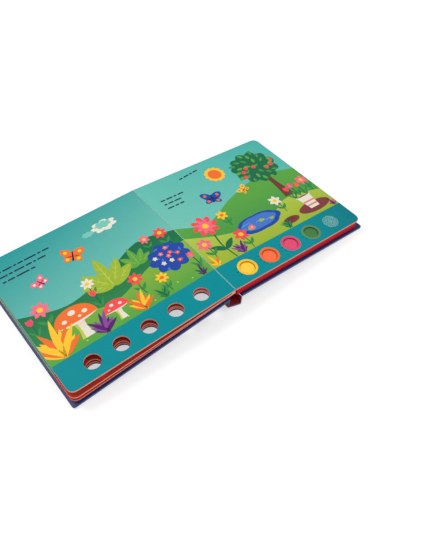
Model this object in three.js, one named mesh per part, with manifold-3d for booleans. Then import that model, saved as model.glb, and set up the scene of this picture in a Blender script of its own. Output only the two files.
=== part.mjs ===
// Children's sound board book, lying open at its last spread.
// Left: the turned leaves on the front cover, fanned apart, with five finger holes.
// Right: the last page on a red block that holds the sound module, four buttons and a speaker.
// Units are millimetres, +Z is up, +Y runs away from the reader and the table is z = 0.
import * as THREE from "three";
import { mergeVertices } from "three/addons/utils/BufferGeometryUtils.js";
import Module from "manifold-3d";

const wasm = await Module();
wasm.setup();

// Page and leaf sizes
const PAGE_WIDTH = 200;
const PAGE_HEIGHT = 197;
const PAGE_CORNER_RADIUS = 9;
const LEAF_THICKNESS = 1.8;
const LOWEST_LEAF_THICKNESS = 1.7;
const GUTTER_GAP = 0.2;
const GLUE_LINE = 0.3;

// The turned leaves spring apart from the fold to the fore-edge
const OPEN_ANGLE = THREE.MathUtils.degToRad(4.98);
const FOLD_STACK_THICKNESS = 5.7;
const UPPER_GAP_START = 5;
const UPPER_GAP_AT_START = 1.4;
const UPPER_GAP_AT_FORE_EDGE = 10;
const LOWER_GAP_START = 32;
const LOWER_GAP_AT_FORE_EDGE = 3.6;

// Case: boards, hinge strips and spine
const COVER_SQUARE = 3;
const COVER_THICKNESS = 2.8;
const COVER_CORNER_RADIUS = 3;
const COVER_EDGE_ROUND = 0.5;
const BACK_COVER_START = 8.6;
const FRONT_COVER_START = 9.7;
const STRIP_THICKNESS = 1.2;
const BACK_STRIP_SPAN = 10.3;
const SPINE_WIDTH = 19.8;
const SPINE_THICKNESS = 2;
const SPINE_TILT = THREE.MathUtils.degToRad(19);
const CREASE_GAP = 0.5;
const STRIP_END_GAP = 0.8;

// Finger holes, buttons and grille share one row of places
const HOLE_DIAMETER = 18;
const HOLE_COUNT = 5;
const FIRST_HOLE_FROM_GUTTER = 32.3;
const LAST_HOLE_FROM_FORE_EDGE = 34.9;
const HOLE_PITCH = (PAGE_WIDTH - FIRST_HOLE_FROM_GUTTER - LAST_HOLE_FROM_FORE_EDGE) / (HOLE_COUNT - 1);
const HOLE_FROM_NEAR_EDGE = 18;
const ROUND_SEGMENTS = 24;

// Sound block and its module
const BLOCK_HEIGHT = 9;
const BLOCK_START = 3;
const BLOCK_INSET = 0.6;
const MODULE_END_MARGIN = 12.5;
const MODULE_SPEAKER_MARGIN = 16;
const MODULE_HALF_WIDTH = 15;
const MODULE_CLEARANCE = 0.3;
const CASE_WALL = 1.5;
const CASE_FLOOR = 1.2;
const BOARD_THICKNESS = 1.2;
const BOARD_BELOW_PAGE = 2.4;
const BOARD_HALF_WIDTH = 12;
const STANDOFF_DIAMETER = 3.4;

// Buttons
const BUTTON_CLEARANCE = 0.4;
const BUTTON_RECESS = 1.3;
const BUTTON_DISH = 0.25;
const BUTTON_TRAVEL = 0.9;
const BUTTON_FLANGE_RADIUS = 10;
const BUTTON_FLANGE_THICKNESS = 0.6;
const BUTTON_PILL_RADIUS = 4;
const CONTACT_PAD_RADIUS = 4.5;
const CONTACT_PAD_THICKNESS = 0.15;
const RING_WIDTH = 2.75;

// Speaker and grille
const GRILLE_DIAMETER = 21;
const GRILLE_THICKNESS = 1;
const GRILLE_HOLE_DIAMETER = 1.5;
const GRILLE_HOLE_PITCH = 2.9;
const GRILLE_RINGS = 3;
const SPEAKER_RADIUS = 13;
const SPEAKER_DEPTH = 4.6;
const SPEAKER_WALL = 0.6;
const SPEAKER_RIM_WIDTH = 1.6;
const SPEAKER_RIM_DEPTH = 1.6;
const MAGNET_RADIUS = 7.5;
const MAGNET_THICKNESS = 2.2;

// Batteries and their door in the back cover
const CELL_DIAMETER = 11.6;
const CELL_THICKNESS = 5.2;
const CELL_COUNT = 3;
const CELL_GAP = 0.5;
const CONTACT_THICKNESS = 0.4;
const CONTACT_WIDTH = 6;
const DOOR_MARGIN = 3;
const DOOR_SCREW_END = 9;
const DOOR_THICKNESS = 2.2;
const DOOR_CLEARANCE = 0.4;
const DOOR_CORNER_RADIUS = 2.5;
const SCREW_HEAD_RADIUS = 2.4;
const SCREW_HEAD_HEIGHT = 1.2;
const SCREW_SHANK_RADIUS = 1.1;
const SCREW_LENGTH = 7;
const BOSS_RADIUS = 3.2;
const LEAD_RADIUS = 0.5;

// Print is laid on the paper as thin films
const FILM_THICKNESS = 0.1;
const FILM_GAP = 0.05;
const FILM_MARGIN = 0.4;
const STRIP_HEIGHT = 36;
const FIELD_GAP = 0.3;
const SCALLOP_STEPS = 4;

// Print motifs: x from the gutter, y from the near edge, size as radius or half width
const LEFT_FAR_CREST = [[0, 112], [45, 122], [95, 104], [PAGE_WIDTH - 50, 92], [PAGE_WIDTH, 108]];
const LEFT_FIELD_CREST = [[0, 92], [50, 84], [105, 66], [PAGE_WIDTH - 50, 72], [PAGE_WIDTH, 58]];
const RIGHT_FAR_CREST = [[0, 112], [40, 98], [90, 118], [PAGE_WIDTH - 50, 132], [PAGE_WIDTH, 120]];
const RIGHT_FIELD_CREST = [[0, 92], [45, 72], [100, 62], [PAGE_WIDTH - 50, 80], [PAGE_WIDTH, 70]];
const LARGE_TOADSTOOL = { x: PAGE_WIDTH - 48, y: STRIP_HEIGHT + 9, size: 24 };
const SMALL_TOADSTOOL = { x: PAGE_WIDTH - 88, y: STRIP_HEIGHT + 6, size: 15 };
const CLOUD = { x: 60, y: PAGE_HEIGHT - 29, size: 17, lobes: 7, depth: 0.28, squash: 0.55 };
const BUSH = { x: 28, y: 82, size: 25, lobes: 9, depth: 0.2, squash: 0.9 };
const POND = { x: 92, y: 66, size: 34, lobes: 6, depth: 0.08, squash: 0.42 };
const TREE_CROWN = {
  x: PAGE_WIDTH - 42, y: PAGE_HEIGHT - 47, size: 33, lobes: 11, depth: 0.16, squash: 0.95,
};
const SUN = { x: 104, y: PAGE_HEIGHT - 31, size: 14, lobes: 12, depth: 0.14, squash: 1 };
const DAISY = { x: 34, y: 96, size: 17, lobes: 8, depth: 0.4, squash: 1 };
const TRUNK_FOOT = { x: TREE_CROWN.x + 1, y: 82, half: 8, root: 4 };
const TRUNK_WAIST = { x: TREE_CROWN.x + 1, y: 110, half: 2 };
const TRUNK_TOP = { x: TREE_CROWN.x, y: TREE_CROWN.y - 10, half: 5 };

// Levels in the right half, measured down from the page surface at zero
const PAGE_BOTTOM = -LEAF_THICKNESS;
const BLOCK_TOP = PAGE_BOTTOM - GLUE_LINE;
const BLOCK_BOTTOM = BLOCK_TOP - BLOCK_HEIGHT;
const BACK_COVER_TOP = BLOCK_BOTTOM - GLUE_LINE;
const BACK_COVER_BOTTOM = BACK_COVER_TOP - COVER_THICKNESS;
const BOARD_TOP = PAGE_BOTTOM - BOARD_BELOW_PAGE;
const BOARD_BOTTOM = BOARD_TOP - BOARD_THICKNESS;
const CASE_FLOOR_TOP = BLOCK_BOTTOM + CASE_FLOOR;

// Places along the row of holes
const holePlaces = Array.from({ length: HOLE_COUNT }, (_, i) => FIRST_HOLE_FROM_GUTTER + i * HOLE_PITCH);
const buttonPlaces = holePlaces.slice(0, HOLE_COUNT - 1);
const speakerPlace = holePlaces[HOLE_COUNT - 1];
const HOLE_RADIUS = HOLE_DIAMETER / 2;
const MODULE_X0 = FIRST_HOLE_FROM_GUTTER - MODULE_END_MARGIN;
const MODULE_X1 = speakerPlace + MODULE_SPEAKER_MARGIN;
const MODULE_Y0 = HOLE_FROM_NEAR_EDGE - MODULE_HALF_WIDTH;
const MODULE_Y1 = HOLE_FROM_NEAR_EDGE + MODULE_HALF_WIDTH;

// Heights of the leaves in the left half, as depth below the top page at a distance from the gutter
const lineThrough = (d0, z0, d1, z1) => (d) => z0 + ((z1 - z0) * (d - d0)) / (d1 - d0);
const secondLeafTop = lineThrough(
  UPPER_GAP_START, LEAF_THICKNESS + UPPER_GAP_AT_START,
  PAGE_WIDTH, LEAF_THICKNESS + UPPER_GAP_AT_FORE_EDGE,
);
const secondLeafBottom = (d) => secondLeafTop(d) + LEAF_THICKNESS;
const lowestLeafTop = lineThrough(
  LOWER_GAP_START, secondLeafBottom(LOWER_GAP_START),
  PAGE_WIDTH, secondLeafBottom(PAGE_WIDTH) + LOWER_GAP_AT_FORE_EDGE,
);
const stackBottom = lineThrough(
  0, FOLD_STACK_THICKNESS,
  PAGE_WIDTH, lowestLeafTop(PAGE_WIDTH) + LOWEST_LEAF_THICKNESS,
);
const frontCoverTop = (d) => stackBottom(d) + GLUE_LINE;
const coverSlope = Math.atan(stackBottom(1) - stackBottom(0));
const frontCoverBottom = (d) => frontCoverTop(d) + COVER_THICKNESS / Math.cos(coverSlope);

// Both fore-edges rest on the table: this fixes the tilt of the right half
const COVER_REACH = PAGE_WIDTH + COVER_SQUARE;
const leftDepth = frontCoverBottom(COVER_REACH);
const rightDepth = -BACK_COVER_BOTTOM;
const rightTilt = Math.atan2(
  COVER_REACH * Math.sin(OPEN_ANGLE) + leftDepth * Math.cos(OPEN_ANGLE) - rightDepth,
  COVER_REACH + COVER_REACH * Math.cos(OPEN_ANGLE) - leftDepth * Math.sin(OPEN_ANGLE),
);
const leftTilt = OPEN_ANGLE - rightTilt;
const gutterHeight = COVER_REACH * Math.sin(rightTilt) + rightDepth * Math.cos(rightTilt);

// Colours of the paper, case and plastics
const material = (color, roughness, metalness = 0) =>
  new THREE.MeshStandardMaterial({ color, roughness, metalness });
const COLOR = {
  sky: 0x6ec0b9, strip: 0x008c96, navy: 0x1e2c61, red: 0xaa141e, darkRed: 0x6e0c12, pages: 0x8fc9bf,
  field: 0x5aa046, lime: 0xa0b43c, forest: 0x2d784b, coral: 0xfa5050, orange: 0xfa733c,
  yellow: 0xffcd32, blue: 0x2346a0, cream: 0xf5ebd2,
  brown: 0x823c3c, buttonYellow: 0xffc73a, buttonOrange: 0xff6937, buttonPink: 0xeb5078,
  buttonGreen: 0x3c7d41, nextLeaf: 0xb1301e, white: 0xe8e8e4, circuit: 0x1f6b45,
  black: 0x222222, steel: 0xb9bcc0, gold: 0xc9a45a, grille: 0x0f8a92,
};
const paper = (color) => material(color, 0.5);

// Solid helpers: three.js geometry to manifold and back
const toSolid = (geometry) => {
  const bare = geometry.index ? geometry.toNonIndexed() : geometry.clone();
  bare.deleteAttribute("normal");
  bare.deleteAttribute("uv");
  const merged = mergeVertices(bare, 1e-4);
  return new wasm.Manifold(new wasm.Mesh({
    numProp: 3,
    vertProperties: Float32Array.from(merged.attributes.position.array),
    triVerts: Uint32Array.from(merged.index.array),
  }));
};
const toGeometry = (solid) => {
  const mesh = solid.getMesh();
  const geometry = new THREE.BufferGeometry();
  geometry.setAttribute("position", new THREE.BufferAttribute(Float32Array.from(mesh.vertProperties), 3));
  geometry.setIndex(new THREE.BufferAttribute(Uint32Array.from(mesh.triVerts), 1));
  geometry.computeVertexNormals();
  return geometry;
};
const cut = (base, tools) => tools.reduce((solid, tool) => solid.subtract(tool), base);
const join = (solids) => solids.reduce((whole, solid) => whole.add(solid));

// A flat outline in plan, raised from z0 to z1, with an optional rounded edge
const slab = (shape, z0, z1, edge = 0, curveSegments = 6) => {
  const geometry = new THREE.ExtrudeGeometry(shape, {
    depth: z1 - z0 - 2 * edge, curveSegments, bevelEnabled: edge > 0,
    bevelSize: edge, bevelThickness: edge, bevelOffset: -edge, bevelSegments: 2,
  });
  geometry.translate(0, 0, z0 + edge);
  return geometry;
};
// A cross-section drawn in X and Z, carried along Y from y0 to y1
const bar = (points, y0, y1) => {
  const outline = new THREE.Shape(points.map(([x, z]) => new THREE.Vector2(x, z)));
  const geometry = new THREE.ExtrudeGeometry(outline, { depth: y1 - y0, bevelEnabled: false });
  geometry.rotateX(Math.PI / 2);
  geometry.translate(0, y1, 0);
  return geometry;
};
const drum = (radius, x, y, z0, z1, segments = ROUND_SEGMENTS) => {
  const geometry = new THREE.CylinderGeometry(radius, radius, z1 - z0, segments);
  geometry.rotateX(Math.PI / 2);
  geometry.translate(x, y, (z0 + z1) / 2);
  return geometry;
};
// A profile of radius and height pairs turned about an upright axis at x, y
const turned = (profile, x, y, segments = ROUND_SEGMENTS) => {
  const geometry = new THREE.LatheGeometry(profile.map(([r, z]) => new THREE.Vector2(r, z)), segments);
  geometry.rotateX(Math.PI / 2);
  geometry.translate(x, y, 0);
  return geometry;
};
const box = (x0, x1, y0, y1, z0, z1) => {
  const geometry = new THREE.BoxGeometry(x1 - x0, y1 - y0, z1 - z0);
  geometry.translate((x0 + x1) / 2, (y0 + y1) / 2, (z0 + z1) / 2);
  return geometry;
};
// Page outline: square at the gutter, rounded at the fore-edge; side is +1 right or -1 left
const pageOutline = (side, inner, outer, near, far, radius) => {
  const shape = new THREE.Shape();
  const x0 = side * inner;
  const x1 = side * outer;
  const turn = side * radius;
  shape.moveTo(x0, near);
  shape.lineTo(x1 - turn, near);
  shape.quadraticCurveTo(x1, near, x1, near + radius);
  shape.lineTo(x1, far - radius);
  shape.quadraticCurveTo(x1, far, x1 - turn, far);
  shape.lineTo(x0, far);
  shape.closePath();
  return shape;
};
const roundedBox = (x0, x1, y0, y1, radius) => {
  const shape = new THREE.Shape();
  shape.absarc(x1 - radius, y0 + radius, radius, -Math.PI / 2, 0);
  shape.absarc(x1 - radius, y1 - radius, radius, 0, Math.PI / 2);
  shape.absarc(x0 + radius, y1 - radius, radius, Math.PI / 2, Math.PI);
  shape.absarc(x0 + radius, y0 + radius, radius, Math.PI, 1.5 * Math.PI);
  return shape;
};
const addMesh = (group, name, solid, surface) => {
  const mesh = new THREE.Mesh(solid instanceof THREE.BufferGeometry ? solid : toGeometry(solid), surface);
  mesh.name = name;
  group.add(mesh);
  return mesh;
};

// The book and its two halves, each turned about the gutter
const book = new THREE.Group();
const leftHalf = new THREE.Group();
const rightHalf = new THREE.Group();
leftHalf.rotation.y = -leftTilt;
rightHalf.rotation.y = rightTilt;
leftHalf.position.z = gutterHeight;
rightHalf.position.z = gutterHeight;
book.add(leftHalf, rightHalf);

// Left half: leaves as one solid, joined at the fold and open at the fore-edge
const leafSection = [
  [GUTTER_GAP, 0],
  [PAGE_WIDTH, 0],
  [PAGE_WIDTH, LEAF_THICKNESS],
  [UPPER_GAP_START, LEAF_THICKNESS],
  [UPPER_GAP_START, secondLeafTop(UPPER_GAP_START)],
  [PAGE_WIDTH, secondLeafTop(PAGE_WIDTH)],
  [PAGE_WIDTH, secondLeafBottom(PAGE_WIDTH)],
  [LOWER_GAP_START, secondLeafBottom(LOWER_GAP_START)],
  [PAGE_WIDTH, lowestLeafTop(PAGE_WIDTH)],
  [PAGE_WIDTH, stackBottom(PAGE_WIDTH)],
  [GUTTER_GAP, stackBottom(GUTTER_GAP)],
].map(([d, depth]) => [-d, -depth]);
const CUT_TOP = 5;
const CUT_BOTTOM = -leftDepth - 5;
const fingerHoles = (radius, z0 = CUT_BOTTOM, z1 = CUT_TOP) =>
  holePlaces.map((place) => toSolid(drum(radius, -place, HOLE_FROM_NEAR_EDGE, z0, z1)));
const leftPageBlank = toSolid(
  slab(pageOutline(-1, 0, PAGE_WIDTH, 0, PAGE_HEIGHT, PAGE_CORNER_RADIUS), CUT_BOTTOM, CUT_TOP),
);
const leftPages = toSolid(bar(leafSection, 0, PAGE_HEIGHT)).intersect(leftPageBlank);
addMesh(leftHalf, "left_pages", cut(leftPages, fingerHoles(HOLE_RADIUS)), paper(COLOR.pages));

// Front cover: a board in line with the lowest leaf, with the same five holes
const coverBoard = (side, start, z0, z1) => slab(
  pageOutline(side, start, COVER_REACH, -COVER_SQUARE, PAGE_HEIGHT + COVER_SQUARE, COVER_CORNER_RADIUS),
  z0, z1, COVER_EDGE_ROUND, 3,
);
const frontBoard = coverBoard(-1, 0, -COVER_THICKNESS, 0);
frontBoard.rotateY(-coverSlope);
frontBoard.translate(0, 0, -frontCoverTop(0));
const frontCoverTrim = toSolid(
  box(-FRONT_COVER_START, COVER_REACH, -PAGE_HEIGHT, 2 * PAGE_HEIGHT, CUT_BOTTOM, CUT_TOP),
);
const frontCover = cut(toSolid(frontBoard).subtract(frontCoverTrim), fingerHoles(HOLE_RADIUS + FIELD_GAP));
addMesh(leftHalf, "front_cover", frontCover, material(COLOR.navy, 0.35));

// Right half: last page with holes for the buttons and the grille
const rightHoles = (buttonRadius, grilleRadius, z0, z1) => [
  ...buttonPlaces.map((place) => toSolid(drum(buttonRadius, place, HOLE_FROM_NEAR_EDGE, z0, z1))),
  toSolid(drum(grilleRadius, speakerPlace, HOLE_FROM_NEAR_EDGE, z0, z1)),
];
const GRILLE_HOLE_RADIUS = GRILLE_DIAMETER / 2 + GLUE_LINE;
const lastPage = toSolid(slab(
  pageOutline(1, GUTTER_GAP, PAGE_WIDTH, 0, PAGE_HEIGHT, PAGE_CORNER_RADIUS), PAGE_BOTTOM, 0,
));
addMesh(
  rightHalf, "last_page",
  cut(lastPage, rightHoles(HOLE_RADIUS, GRILLE_HOLE_RADIUS, PAGE_BOTTOM - 1, 1)),
  paper(COLOR.sky),
);

// Sound block: a thick frame with a window for the module
const blockOutline = pageOutline(
  1, BLOCK_START, PAGE_WIDTH - BLOCK_INSET, BLOCK_INSET, PAGE_HEIGHT - BLOCK_INSET,
  PAGE_CORNER_RADIUS - BLOCK_INSET,
);
const moduleWindow = box(
  MODULE_X0 - MODULE_CLEARANCE, MODULE_X1 + MODULE_CLEARANCE,
  MODULE_Y0 - MODULE_CLEARANCE, MODULE_Y1 + MODULE_CLEARANCE, BLOCK_BOTTOM - 1, BLOCK_TOP + 1,
);
const block = toSolid(slab(blockOutline, BLOCK_BOTTOM, BLOCK_TOP)).subtract(toSolid(moduleWindow));
addMesh(rightHalf, "sound_block", block, material(COLOR.red, 0.45));

// Battery row, between the second and third pair of buttons
const cellPitch = CELL_DIAMETER + CELL_GAP;
const batteryX = (buttonPlaces[2] + buttonPlaces[3]) / 2;
const batteryHalfLength = (CELL_COUNT * cellPitch) / 2 + CONTACT_THICKNESS + CELL_GAP;
const batteryHalfWidth = CELL_DIAMETER / 2 + CELL_GAP;
const screwX = batteryX + batteryHalfLength + DOOR_SCREW_END / 2;
const doorX0 = batteryX - batteryHalfLength - DOOR_MARGIN;
const doorX1 = screwX + BOSS_RADIUS + DOOR_MARGIN;
const doorHalfWidth = batteryHalfWidth + DOOR_MARGIN;
const doorOutline = (grow) => roundedBox(
  doorX0 - grow, doorX1 + grow,
  HOLE_FROM_NEAR_EDGE - doorHalfWidth - grow, HOLE_FROM_NEAR_EDGE + doorHalfWidth + grow,
  DOOR_CORNER_RADIUS,
);

// Back cover with the opening for the battery door
const backCover = toSolid(coverBoard(1, BACK_COVER_START, BACK_COVER_BOTTOM, BACK_COVER_TOP)).subtract(
  toSolid(slab(doorOutline(DOOR_CLEARANCE), BACK_COVER_BOTTOM - 1, BACK_COVER_TOP + 1, 0, 3)),
);
addMesh(rightHalf, "back_cover", backCover, material(COLOR.navy, 0.35));
const DOOR_TOP = BACK_COVER_TOP - DOOR_CLEARANCE / 2;
const DOOR_BOTTOM = DOOR_TOP - DOOR_THICKNESS;
const door = cut(toSolid(slab(doorOutline(0), DOOR_BOTTOM, DOOR_TOP, 0, 3)), [
  toSolid(drum(
    SCREW_SHANK_RADIUS + DOOR_CLEARANCE, screwX, HOLE_FROM_NEAR_EDGE, DOOR_BOTTOM - 1, DOOR_TOP + 1,
  )),
  toSolid(drum(
    SCREW_HEAD_RADIUS + DOOR_CLEARANCE, screwX, HOLE_FROM_NEAR_EDGE,
    DOOR_BOTTOM - 1, DOOR_BOTTOM + SCREW_HEAD_HEIGHT,
  )),
]);
addMesh(rightHalf, "battery_door", door, material(COLOR.white, 0.4));
const screwBottom = DOOR_BOTTOM + GLUE_LINE / 2;
const screwHeadTop = screwBottom + SCREW_HEAD_HEIGHT - GLUE_LINE;
const screwProfile = [
  [0, screwBottom], [SCREW_HEAD_RADIUS - 0.4, screwBottom], [SCREW_HEAD_RADIUS, screwBottom + 0.4],
  [SCREW_HEAD_RADIUS, screwHeadTop], [SCREW_SHANK_RADIUS, screwHeadTop],
  [SCREW_SHANK_RADIUS, screwBottom + SCREW_LENGTH - 1], [0, screwBottom + SCREW_LENGTH],
];
addMesh(
  rightHalf, "door_screw", toSolid(turned(screwProfile, screwX, HOLE_FROM_NEAR_EDGE, 12)),
  material(COLOR.steel, 0.35, 0.9),
);

// Module case: an open tray with a battery bay, a screw boss and standoffs for the circuit board
const tray = toSolid(box(MODULE_X0, MODULE_X1, MODULE_Y0, MODULE_Y1, BLOCK_BOTTOM, BLOCK_TOP)).subtract(
  toSolid(box(
    MODULE_X0 + CASE_WALL, MODULE_X1 - CASE_WALL, MODULE_Y0 + CASE_WALL, MODULE_Y1 - CASE_WALL,
    CASE_FLOOR_TOP, BLOCK_TOP + 1,
  )),
);
const batteryBay = toSolid(box(
  batteryX - batteryHalfLength, batteryX + batteryHalfLength,
  HOLE_FROM_NEAR_EDGE - batteryHalfWidth, HOLE_FROM_NEAR_EDGE + batteryHalfWidth,
  BLOCK_BOTTOM - 1, CASE_FLOOR_TOP + 1,
));
const boss = toSolid(drum(
  BOSS_RADIUS, screwX, HOLE_FROM_NEAR_EDGE, BLOCK_BOTTOM, BOARD_BOTTOM - GLUE_LINE, 16,
));
const bossBore = toSolid(drum(
  SCREW_SHANK_RADIUS + GLUE_LINE, screwX, HOLE_FROM_NEAR_EDGE, BLOCK_BOTTOM - 1, BOARD_BOTTOM, 12,
));
const boardX0 = MODULE_X0 + CASE_WALL + 2;
const boardX1 = speakerPlace - SPEAKER_RADIUS - 2;
const STANDOFF_INSET = STANDOFF_DIAMETER / 2 + 0.5;
const standoffs = [boardX0 + STANDOFF_INSET, boardX1 - STANDOFF_INSET].flatMap((x) =>
  [-1, 1].map((side) => toSolid(drum(
    STANDOFF_DIAMETER / 2, x, HOLE_FROM_NEAR_EDGE + side * (BOARD_HALF_WIDTH - STANDOFF_INSET),
    BLOCK_BOTTOM, BOARD_BOTTOM - GLUE_LINE, 10,
  ))),
);
const SPEAKER_TOP = BLOCK_TOP - GLUE_LINE;
const speakerSeat = toSolid(drum(
  SPEAKER_RADIUS, speakerPlace, HOLE_FROM_NEAR_EDGE,
  BLOCK_BOTTOM, SPEAKER_TOP - SPEAKER_RIM_DEPTH - GLUE_LINE,
)).subtract(toSolid(drum(
  SPEAKER_RADIUS - SPEAKER_RIM_WIDTH + GLUE_LINE,
  speakerPlace, HOLE_FROM_NEAR_EDGE, CASE_FLOOR_TOP, BLOCK_TOP,
)));
addMesh(
  rightHalf, "module_case",
  cut(join([tray, boss, speakerSeat, ...standoffs]), [batteryBay, bossBore]),
  material(COLOR.white, 0.45),
);

// Circuit board, chip, contact pads and the four buttons
addMesh(
  rightHalf, "circuit_board",
  box(
    boardX0, boardX1, HOLE_FROM_NEAR_EDGE - BOARD_HALF_WIDTH, HOLE_FROM_NEAR_EDGE + BOARD_HALF_WIDTH,
    BOARD_BOTTOM, BOARD_TOP,
  ),
  material(COLOR.circuit, 0.4),
);
const chipX = (buttonPlaces[0] + buttonPlaces[1]) / 2;
const chipProfile = [
  [0, BOARD_TOP + FILM_GAP], [3, BOARD_TOP + FILM_GAP], [2.4, BOARD_TOP + 0.7], [0, BOARD_TOP + 1],
];
addMesh(
  rightHalf, "sound_chip", toSolid(turned(chipProfile, chipX, HOLE_FROM_NEAR_EDGE, 12)),
  material(COLOR.black, 0.3),
);
const contactBottom = BOARD_TOP + FILM_GAP;
const contactTop = contactBottom + CONTACT_PAD_THICKNESS;
const padRadius = HOLE_RADIUS - BUTTON_CLEARANCE;
const padTop = -BUTTON_RECESS;
const flangeTop = PAGE_BOTTOM - GLUE_LINE;
const flangeBottom = flangeTop - BUTTON_FLANGE_THICKNESS;
const pillBottom = contactTop + BUTTON_TRAVEL + FILM_GAP;
const buttonProfile = [
  [0, pillBottom], [BUTTON_PILL_RADIUS, pillBottom], [BUTTON_PILL_RADIUS, flangeBottom],
  [BUTTON_FLANGE_RADIUS, flangeBottom], [BUTTON_FLANGE_RADIUS, flangeTop], [padRadius, flangeTop],
  [padRadius, padTop - 0.4], [padRadius - 0.6, padTop], [padRadius * 0.6, padTop - BUTTON_DISH * 0.7],
  [0, padTop - BUTTON_DISH],
];
const ringRadius = HOLE_DIAMETER / 2 + RING_WIDTH;
const ringBlank = (place, z0, z1) => toSolid(drum(ringRadius, place, HOLE_FROM_NEAR_EDGE, z0, z1))
  .subtract(toSolid(drum(HOLE_RADIUS + FILM_MARGIN, place, HOLE_FROM_NEAR_EDGE, z0 - 1, z1 + 1)));
const filmLevel = (layer) => FILM_GAP + layer * (FILM_THICKNESS + FILM_GAP);
const buttonColors = [COLOR.buttonYellow, COLOR.buttonOrange, COLOR.buttonPink, COLOR.buttonGreen];
buttonPlaces.forEach((place, i) => {
  const number = i + 1;
  addMesh(
    rightHalf, `contact_pad_${number}`,
    drum(CONTACT_PAD_RADIUS, place, HOLE_FROM_NEAR_EDGE, contactBottom, contactTop, 8),
    material(COLOR.gold, 0.3, 0.9),
  );
  addMesh(
    rightHalf, `button_${number}`, toSolid(turned(buttonProfile, place, HOLE_FROM_NEAR_EDGE)),
    material(buttonColors[i], 0.5),
  );
  const level = filmLevel(1);
  addMesh(
    rightHalf, `button_ring_${number}`, ringBlank(place, level, level + FILM_THICKNESS),
    paper(buttonColors[i]),
  );
});

// Speaker under its perforated grille
const grilleTop = 0;
const grilleBottom = grilleTop - GRILLE_THICKNESS;
const grilleHoles = [];
for (let ring = 0; ring <= GRILLE_RINGS; ring += 1) {
  const count = Math.max(1, 6 * ring);
  for (let i = 0; i < count; i += 1) {
    const angle = (2 * Math.PI * i) / count;
    grilleHoles.push(toSolid(drum(
      GRILLE_HOLE_DIAMETER / 2,
      speakerPlace + ring * GRILLE_HOLE_PITCH * Math.cos(angle),
      HOLE_FROM_NEAR_EDGE + ring * GRILLE_HOLE_PITCH * Math.sin(angle),
      grilleBottom - 1, grilleTop + 1, 4,
    )));
  }
}
addMesh(
  rightHalf, "speaker_grille",
  cut(
    toSolid(drum(GRILLE_DIAMETER / 2, speakerPlace, HOLE_FROM_NEAR_EDGE, grilleBottom, grilleTop)),
    grilleHoles,
  ),
  material(COLOR.grille, 0.5),
);
const speakerBottom = BLOCK_TOP - SPEAKER_DEPTH;
const MAGNET_SEAT = MAGNET_RADIUS - 1;
const speakerFrameProfile = [
  [SPEAKER_RADIUS, SPEAKER_TOP],
  [SPEAKER_RADIUS - SPEAKER_RIM_WIDTH, SPEAKER_TOP],
  [SPEAKER_RADIUS - 2.4, SPEAKER_TOP - 1],
  [MAGNET_SEAT + 1, speakerBottom + SPEAKER_WALL], [MAGNET_SEAT - 2, speakerBottom + SPEAKER_WALL],
  [MAGNET_SEAT - 2, speakerBottom], [MAGNET_SEAT + 1.4, speakerBottom],
  [SPEAKER_RADIUS - SPEAKER_RIM_WIDTH, SPEAKER_TOP - SPEAKER_RIM_DEPTH],
  [SPEAKER_RADIUS, SPEAKER_TOP - 1],
  [SPEAKER_RADIUS, SPEAKER_TOP],
];
addMesh(
  rightHalf, "speaker_frame", toSolid(turned(speakerFrameProfile, speakerPlace, HOLE_FROM_NEAR_EDGE, 20)),
  material(COLOR.steel, 0.4, 0.8),
);
const coneProfile = [
  [0, speakerBottom + 1.6], [3, speakerBottom + 1.1], [SPEAKER_RADIUS - 3.4, SPEAKER_TOP - 0.7],
  [SPEAKER_RADIUS - 3.4, SPEAKER_TOP - 0.4], [3, speakerBottom + 1.5], [0, speakerBottom + 2],
];
addMesh(
  rightHalf, "speaker_cone", toSolid(turned(coneProfile, speakerPlace, HOLE_FROM_NEAR_EDGE, 16)),
  material(COLOR.black, 0.7),
);
const magnetTop = speakerBottom - GLUE_LINE / 2;
addMesh(
  rightHalf, "speaker_magnet",
  drum(MAGNET_RADIUS, speakerPlace, HOLE_FROM_NEAR_EDGE, magnetTop - MAGNET_THICKNESS, magnetTop),
  material(COLOR.steel, 0.3, 0.9),
);
const LEAD_OFFSET = 8.5;
const leadEnd = speakerPlace - Math.sqrt(SPEAKER_RADIUS ** 2 - LEAD_OFFSET ** 2) - GLUE_LINE;
const leadLevel = BOARD_TOP + LEAD_RADIUS + 2 * FILM_GAP;
const leadRoute = (side) => new THREE.CatmullRomCurve3([
  new THREE.Vector3(boardX1 - 5, HOLE_FROM_NEAR_EDGE + side * (LEAD_OFFSET - 3), leadLevel),
  new THREE.Vector3(boardX1 - 1, HOLE_FROM_NEAR_EDGE + side * (LEAD_OFFSET - 1), leadLevel),
  new THREE.Vector3(
    (boardX1 + leadEnd) / 2, HOLE_FROM_NEAR_EDGE + side * LEAD_OFFSET, leadLevel + LEAD_RADIUS,
  ),
  new THREE.Vector3(leadEnd, HOLE_FROM_NEAR_EDGE + side * LEAD_OFFSET, SPEAKER_TOP - LEAD_RADIUS),
]);
const leadSection = new THREE.Shape(Array.from({ length: 8 }, (_, i) => new THREE.Vector2(
  LEAD_RADIUS * Math.cos((i * Math.PI) / 4), LEAD_RADIUS * Math.sin((i * Math.PI) / 4),
)));
[-1, 1].forEach((side) => addMesh(
  rightHalf, side < 0 ? "speaker_lead_black" : "speaker_lead_red",
  new THREE.ExtrudeGeometry(leadSection, { steps: 6, bevelEnabled: false, extrudePath: leadRoute(side) }),
  material(side < 0 ? COLOR.black : COLOR.red, 0.5),
));

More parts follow.
